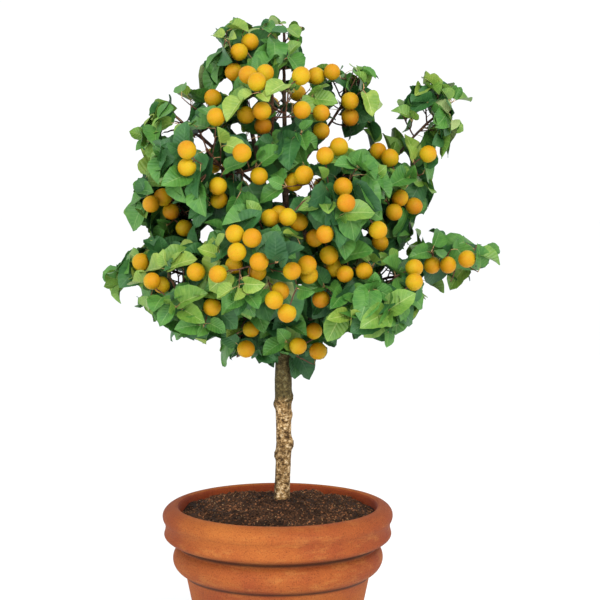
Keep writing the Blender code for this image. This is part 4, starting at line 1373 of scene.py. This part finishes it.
# %% Leaf models
OUTLINE = (
    (0.0, 0.48), (0.06, 0.76), (0.16, 0.94), (0.30, 1.0), (0.44, 0.99), (0.57, 0.93),
    (0.69, 0.80), (0.79, 0.62), (0.88, 0.39), (0.94, 0.19), (1.0, 0.0),
)
TOOTH_OUT, TOOTH_IN = 0.035, -0.02
Bend = namedtuple("Bend", "wide fold arch curl wave twist")
BENDS = (
    Bend(0.84, 0.20, 0.16, 0.08, 0.034, 0.00),
    Bend(0.86, 0.30, 0.30, 0.06, 0.052, 0.18),
    Bend(0.80, 0.42, 0.24, 0.14, 0.048, -0.22),
    Bend(0.88, 0.16, 0.42, -0.10, 0.062, 0.16),
    Bend(0.82, 0.36, 0.50, 0.10, 0.066, -0.26),
    Bend(0.72, 0.58, 0.10, 0.16, 0.034, 0.10),
)


def leaf_model(bent, seed):
    nothing_selected()
    rows = len(OUTLINE) - 1
    bpy.ops.mesh.primitive_grid_add(x_subdivisions=4, y_subdivisions=rows, size=1.0)
    made = bpy.context.object
    dice = random.Random(f"leaf{seed}")
    layer = made.data.uv_layers.active.data
    for loop in made.data.loops:
        p = made.data.vertices[loop.vertex_index].co
        row = round((p.y + 0.5) * rows)
        layer[loop.index].uv = (p.x + 0.5, OUTLINE[row][0])
    phase = dice.uniform(0, math.tau)
    for vertex in made.data.vertices:
        u = vertex.co.x * 2
        row = round((vertex.co.y + 0.5) * rows)
        v, half = OUTLINE[row]
        edge = abs(u) > 0.9
        tooth = 1 + (TOOTH_OUT if row % 2 else TOOTH_IN) * edge
        x = u * half * bent.wide / 2 * tooth
        y = v - 0.07 * abs(u) ** 1.5 * (1 - v) ** 3
        z = abs(u) * half * bent.fold * 0.5 * bent.wide
        z += bent.curl * (abs(u) * half) ** 3 - bent.arch * v * v
        z += bent.wave * math.sin(v * 9.0 + phase + (2.0 if u > 0 else 0.0)) * abs(u) ** 2
        lean = bent.twist * v
        vertex.co = (x * math.cos(lean) - z * math.sin(lean), y, x * math.sin(lean) + z * math.cos(lean))
    bpy.ops.object.mode_set(mode="EDIT")
    bpy.ops.mesh.select_all(action="SELECT")
    bpy.ops.mesh.remove_doubles(threshold=0.0005)
    bpy.ops.object.mode_set(mode="OBJECT")
    return read_model(made)


leaf_models = [leaf_model(bent, k) for k, bent in enumerate(BENDS)]
print("leaf", len(leaf_models[0].sizes), "faces")

# %% [markdown]
# Leaves grow on a shoot in three ways. At its tip stand a few young ones in a rosette, and one
# that is still upright. Along it hang the grown ones, on longer stalks, their faces outward. A
# leaf tries several ways, drops those that run into a fruit, across an opening or out of the
# crown, and takes the one that lies furthest from its neighbours.

# %% Where the leaves grow
LEAF_LONG, LEAF_EVERY, LEAF_APART, LEAF_TRIES = 0.062, 0.018, 0.0185, 10
LOWEST_TIP = 0.575
LEAF_WITHIN = 1.09  # share of the masses' reach that holds the leaves' tips
SMALL_FROM, SMALL_OVER, SMALLER = 1.06, 0.14, 0.12  # leaves get smaller up the crown
FRONT_OF_FRUIT = 2  # corners of a blade that may lie before one fruit
MOST_LEAVES = 6000
Leaf = namedtuple("Leaf", "seat base ahead facing long model tint")
fruit_centres = np.array([tuple(f.centre) for f in fruit])
fruit_open = np.array([tuple(f.open) for f in fruit])
middles, leaf_count = np.zeros((MOST_LEAVES, 3)), 0


def blade_points(model, ahead, facing, long, base):
    return leaf_models[model].points @ (facing_turn(ahead, facing) * long).T + np.array(base)


def spoils_fruit(points, middle, long):
    """Whether a blade cuts into a fruit or lies before much of one."""
    away = np.array(middle) - fruit_centres
    ahead = (away * fruit_open).sum(1)
    beside = (away**2).sum(1) - ahead**2
    near = (ahead > -0.07) & (beside < (0.6 * long + FRUIT_RADIUS) ** 2)
    if not near.any():
        return False
    away = points[:, None, :] - fruit_centres[near]
    distance = (away**2).sum(2)
    ahead = (away * fruit_open[near]).sum(2)
    if (distance < (FRUIT_RADIUS + 0.0012) ** 2).any():
        return True
    before = (ahead > 0) & (distance - ahead**2 < (0.85 * FRUIT_RADIUS) ** 2)
    return int(before.sum(0).max()) > FRONT_OF_FRUIT


def nearest_leaf(point):
    if not leaf_count:
        return 1.0
    away = middles[:leaf_count] - np.array(point)
    return math.sqrt((away**2).sum(1).min())


def scatter(dice, most):
    return Vector((dice.uniform(-most, most), dice.uniform(-most, most), dice.uniform(-most, most)))


def sunward(dice, level):
    """Leaves turn half outward, and half to the open front or back of the crown."""
    side = math.copysign(1.0, level.y) if abs(level.y) > 0.15 else dice.choice((-1.0, 1.0))
    return Vector((level.x * 0.40, side * (0.60 + 0.40 * abs(level.y)), 0)).normalized()


def across_face(ahead, facing):
    """The blade's way, turned most of the way into the plane that it faces out of."""
    face = facing.normalized()
    return (ahead - face * ahead.dot(face) * 0.65).normalized()


def leaf_way(dice, kind, along_limb, level, order, high):
    """How a leaf stands: its stalk's way and length, its blade's way, face and length."""
    if kind == "young":
        tilt = math.radians(dice.uniform(40, 85))
        turn = math.tau * (order + dice.uniform(-0.2, 0.2)) / 4.0
        radial = turned_about(along_limb, tilt, turn)
        ahead = (radial + UP * dice.uniform(-0.30, 0.15)).normalized()
        facing = UP * (0.50 + 0.45 * high) + sunward(dice, level) * 0.8
        facing = facing + along_limb * 0.3 + scatter(dice, 0.40)
        long = LEAF_LONG * dice.uniform(0.72, 1.0)
        return (radial + UP * 0.2).normalized(), 0.013, across_face(ahead, facing), facing, long
    if kind == "upright":
        ahead = (along_limb + UP * 0.5 + scatter(dice, 0.25)).normalized()
        facing = sunward(dice, level) + scatter(dice, 0.6)
        return ahead, 0.006, ahead, facing, LEAF_LONG * dice.uniform(0.42, 0.64)
    radial = turned_about(along_limb, math.radians(dice.uniform(45, 100)), dice.uniform(0, math.tau))
    ahead = (radial * 0.75 + level * 0.15 - UP * dice.uniform(0.05, 0.95)).normalized()
    swing = Matrix.Rotation(math.radians(dice.uniform(-55, 55)), 3, "Z")
    facing = swing @ sunward(dice, level) + UP * dice.uniform(-0.1, 0.8) + scatter(dice, 0.3)
    reach = dice.uniform(0.014, 0.026)
    long = LEAF_LONG * dice.uniform(0.80, 1.14)
    return (radial + level * 0.3).normalized(), reach, across_face(ahead, facing), facing, long


MODELS_OF = {"young": (0, 2, 5), "upright": (0, 2, 5), "grown": (0, 1, 1, 3, 4)}


def try_leaves(dice, limb, share, kind, order):
    """The best of several leaves at a node, or None."""
    seat, along_limb = along(limb.fine, share)
    outward = seat - CROWN_MIDDLE
    level = Vector((outward.x, outward.y, 0)).normalized()
    best, widest = None, LEAF_APART * (0.75 if kind == "upright" else 1.0)
    high = min(1.0, max(0.0, (seat.z - SMALL_FROM) / SMALL_OVER))
    for attempt in range(LEAF_TRIES):
        stalk, reach, ahead, facing, long = leaf_way(dice, kind, along_limb, level, order, high)
        long *= 1 - SMALLER * high
        if attempt > LEAF_TRIES * 0.6 and kind == "young":
            long *= 0.74
        model = dice.choice(MODELS_OF[kind])
        base = seat + stalk * reach
        middle, tip = base + ahead * long * 0.5, base + ahead * long
        apart = nearest_leaf(middle)
        if apart <= widest or tip.z < LOWEST_TIP or not within_reach(tip, LEAF_WITHIN):
            continue
        points = blade_points(model, ahead, facing, long, base)
        if in_opening(points, 1) or spoils_fruit(points, middle, long):
            continue
        best, widest = (seat, base, ahead, facing, long, model, middle), apart
    return best


# %% [markdown]
# The tints paint much of the crown's light and shade. Young leaves at the outer tips are paler
# in life, and get the lightest tints as painted light. Further in, and along the shoots, leaves
# are painted darker as shade, down to nearly black inside. High shoots get lighter tints as
# painted skylight, and low ones in the middle darker tints as painted shade. Each shoot has a tone
# of its own that most of its leaves share, so light sprays stand out before dark ones.

# %% Leaf tints
TONES = list(LEAF_TINTS)
CROWN_HALF = (0.30, 0.29, 0.36)
OUTER, BETWEEN = 0.85, 0.65
HIGH_FROM, LOW_UNTIL, MIDDLE_FROM, MIDDLE_UNTIL = 1.08, 0.97, -0.07, 0.29
# Painted light and shade: outer shoots get the lightest tints, high ones lighter still and low ones in
# the middle darker.
OUTER_TONES = {
    "high": (6, 5, 2.5, 0.6, 0, 0.5),
    "low": (1.2, 3.5, 5, 2.6, 0.2, 0),
    "even": (4.5, 5, 3.5, 1, 0, 0.4),
}
BETWEEN_TONES = {
    "high": (2.8, 4, 4, 2, 0.2, 0.3),
    "low": (0.4, 1.5, 4, 4, 1.5, 0),
    "even": (1.5, 3, 4, 3, 0.5, 0.2),
}
# Painted shade: shoots inside the crown get dark tints.
INNER_TONES = (0, 1, 3, 4, 2, 0)
GROWN_OUTER_TONES = (0.1, 1.2, 4, 4, 1.2, 0.15)
GROWN_INNER_TONES = (0, 0.3, 1.8, 4, 3, 0.05)


def leaf_depth(point):
    """Nought in the middle of the crown, and about one at its outside."""
    return math.sqrt(sum((off / half) ** 2 for off, half in zip(point - CROWN_MIDDLE, CROWN_HALF)))


def shoot_tone(dice, limb):
    """The tone of a shoot, as an index of the leaf tints."""
    tip, depth = limb.fine[-1], leaf_depth(limb.fine[-1])
    low_in_middle = tip.z < LOW_UNTIL and MIDDLE_FROM < tip.x < MIDDLE_UNTIL
    place = "high" if tip.z > HIGH_FROM else "low" if low_in_middle else "even"
    weights = INNER_TONES
    if depth > BETWEEN:
        weights = (OUTER_TONES if depth > OUTER else BETWEEN_TONES)[place]
    return dice.choices(range(len(TONES)), weights)[0]


def leaf_tint(dice, kind, tone, middle):
    """The shoot's tone or the next darker one. Grown leaves go by their depth in the crown."""
    if kind != "grown":
        return TONES[tone] if dice.random() < 0.75 else TONES[min(3, tone + 1)]
    # Painted shade: grown leaves deeper in the crown get darker tints.
    weights = GROWN_OUTER_TONES if leaf_depth(middle) > OUTER else GROWN_INNER_TONES
    return dice.choices(TONES, weights)[0]


def grow_leaves(mass):
    global leaf_count
    dice = random.Random(f"leaves{mass.seed}")
    leaves = []
    for limb in shoots_of[mass.name] + twigs_of[mass.name]:
        tone = shoot_tone(dice, limb)
        plan = [(0.99 - 0.03 * k, "young", k) for k in range(4)]
        if limb.name == "shoot":
            plan.append((1.0, "upright", 0))
        count = int(path_length(limb.fine) / LEAF_EVERY)
        plan += [(0.15 + 0.72 * (k + 0.5) / count, "grown", k) for k in range(count)]
        for share, kind, order in plan:
            found = try_leaves(dice, limb, share, kind, order)
            if found:
                *leaf, middle = found
                leaves.append(Leaf(*leaf, leaf_tint(dice, kind, tone, middle)))
                middles[leaf_count] = middle
                leaf_count += 1
                bear(limb, share)
    return leaves


leaves = []
for mass in masses:
    leaves += grow_leaves(mass)

# %% [markdown]
# On the right, two dark leaves hang below the crown beside the trunk. They grow on a short shoot
# of the trunk's own.

# %% Leaves beside the trunk
low_line = shoot(trunk_point(0.80), Vector((0.88, -0.36, -0.30)), 0.026, -0.10, 4)
low_shoot = Limb("shoot", low_line, SHOOT_RADII, low_line)
bear(low_shoot, 1.0)
for share, droop, ahead, facing, long, model, tint in (
    (1.0, (0.004, -0.003, -0.014), (0.55, -0.10, -0.80), (0.30, -0.85, 0.30), 0.052, 1, "shade"),
    (0.8, (0.002, -0.004, -0.020), (0.10, 0.00, -1.00), (0.55, -0.80, 0.10), 0.044, 0, "deep"),
):
    seat = along(low_line, share)[0]
    base, ahead = seat + Vector(droop), Vector(ahead).normalized()
    leaves.append(Leaf(seat, base, ahead, Vector(facing), long, model, tint))
print(len(leaves), "leaves")

# %% Join the leaves by tint
for tint, finish in leaf_finishes.items():
    copies = [
        (leaf_models[leaf.model], facing_turn(leaf.ahead, leaf.facing) * leaf.long, np.array(leaf.base))
        for leaf in leaves if leaf.tint == tint
    ]
    join_copies("leaves_" + tint, copies, finish, all_foliage)

# %% [markdown]
# A stalk joins each blade to its twig. It leaves the twig and turns into the blade's own
# direction. Stalks and twigs are tubes again, and each kind is one piece.


# %% Stalks and twigs
def stalk_model(leaf):
    span = (leaf.base - leaf.seat).length * 0.5
    inner = leaf.base + leaf.ahead * leaf.long * 0.03
    middle = (leaf.seat + inner) / 2 - leaf.ahead * span * 0.15
    return tube_model([leaf.seat, middle, inner], [0.0009, 0.0007, 0.0006], 4)


def fruit_stalk(one):
    end = one.centre + (one.seat - one.centre).normalized() * one.radius * 0.84
    middle = (one.seat + end) / 2 + UP * (end - one.seat).length * 0.08
    return tube_model([one.seat, middle, end], [0.0017, 0.0014, 0.0013], 5)


def twig_model(limb, sides):
    """The limb's tube, as far as it bears anything."""
    steps = len(limb.fine) - 1
    first, last = limb.radii[0], limb.radii[-1]
    dice = random.Random(str(round(limb.fine[0].x * 1e5)))
    path = [along(limb.fine, borne[id(limb)] * i / steps)[0] for i in range(steps + 1)]
    path[1:-1] = [p + scatter(dice, 0.0007) for p in path[1:-1]]
    return tube_model(path, [first + (last - first) * i / steps for i in range(steps + 1)], sides)


shoots = [limb for limbs in shoots_of.values() for limb in limbs if id(limb) in borne]
for limb in shoots:
    bear(*parent_of[id(limb)])
shoots.append(low_shoot)
for limbs in twigs_of.values():
    bear(limbs[0], 0.86)
stems_and_twigs = [limb for limbs in twigs_of.values() for limb in limbs if id(limb) in borne]
twig_models = [twig_model(limb, 7) for limb in stems_and_twigs] + [twig_model(limb, 5) for limb in shoots]
twig_models += [fruit_stalk(one) for one in fruit]
print(len(stems_and_twigs), "stems and twigs,", len(shoots), "shoots that bear something")
join_tubes("twigs", twig_models, twig_bark, all_foliage)
join_tubes("leaf_stalks", [stalk_model(leaf) for leaf in leaves], stalk_skin, all_foliage)

# %% [markdown]
# ## Floor and light
#
# A plain pale floor carries the pot. It pales with distance into the white of the sky, so no
# horizon cuts across the view. A broad lamp stands high in front on the right, and a weaker one
# fills from the left, so that fruit is yellow on its upper right and deep orange below.

# %% Floor
FLOOR_SIZE = 60.0


def floor_finish():
    made, tree, shader, where = start_finish("pale_floor", 0.1)
    tint = ramp(tree, noise_at(tree, where, 2.0), [(0.3, 0.925), (0.7, 0.945)])
    away = add_node(tree, "VectorMath", {0: where}, operation="LENGTH").outputs["Value"]
    far = ramp(tree, calculate(tree, "DIVIDE", away, FLOOR_SIZE / 2), [(0.08, 0.0), (0.35, 1.0)])
    tint = mix(tree, far, tint, (0.99, 0.995, 1.0))
    rough = ramp(tree, noise_at(tree, where, 5.0), [(0.3, 0.85), (0.7, 0.95)])
    finish_with(tree, shader, tint, rough)
    return made


nothing_selected()
bpy.ops.mesh.primitive_plane_add(size=FLOOR_SIZE, location=(0, 0, 0))
floor = bpy.context.object
floor.name = "floor"
floor.data.materials.append(floor_finish())

# %% Lights
AIM = Vector((0, 0, 0.85))


def lamp(name, place, power, size, colour):
    data = bpy.data.lights.new(name, "AREA")
    data.energy, data.size, data.color = power, size, colour
    made = bpy.data.objects.new(name, data)
    made.location = place
    made.rotation_euler = (AIM - Vector(place)).to_track_quat("-Z", "Y").to_euler()
    bpy.context.scene.collection.objects.link(made)


lamp("key", (1.15, -2.85, 2.6), 92, 2.0, (1.0, 0.97, 0.92))
lamp("fill", (-2.2, -2.6, 1.5), 46, 2.0, (0.94, 0.97, 1.0))
world = bpy.data.worlds.new("soft_sky")
world.use_nodes = True
sky = world.node_tree.nodes["Background"].inputs
sky["Color"].default_value = (0.955, 0.97, 0.985, 1)
sky["Strength"].default_value = 1.08
bpy.context.scene.world = world
bpy.context.scene.view_settings.view_transform = "Standard"
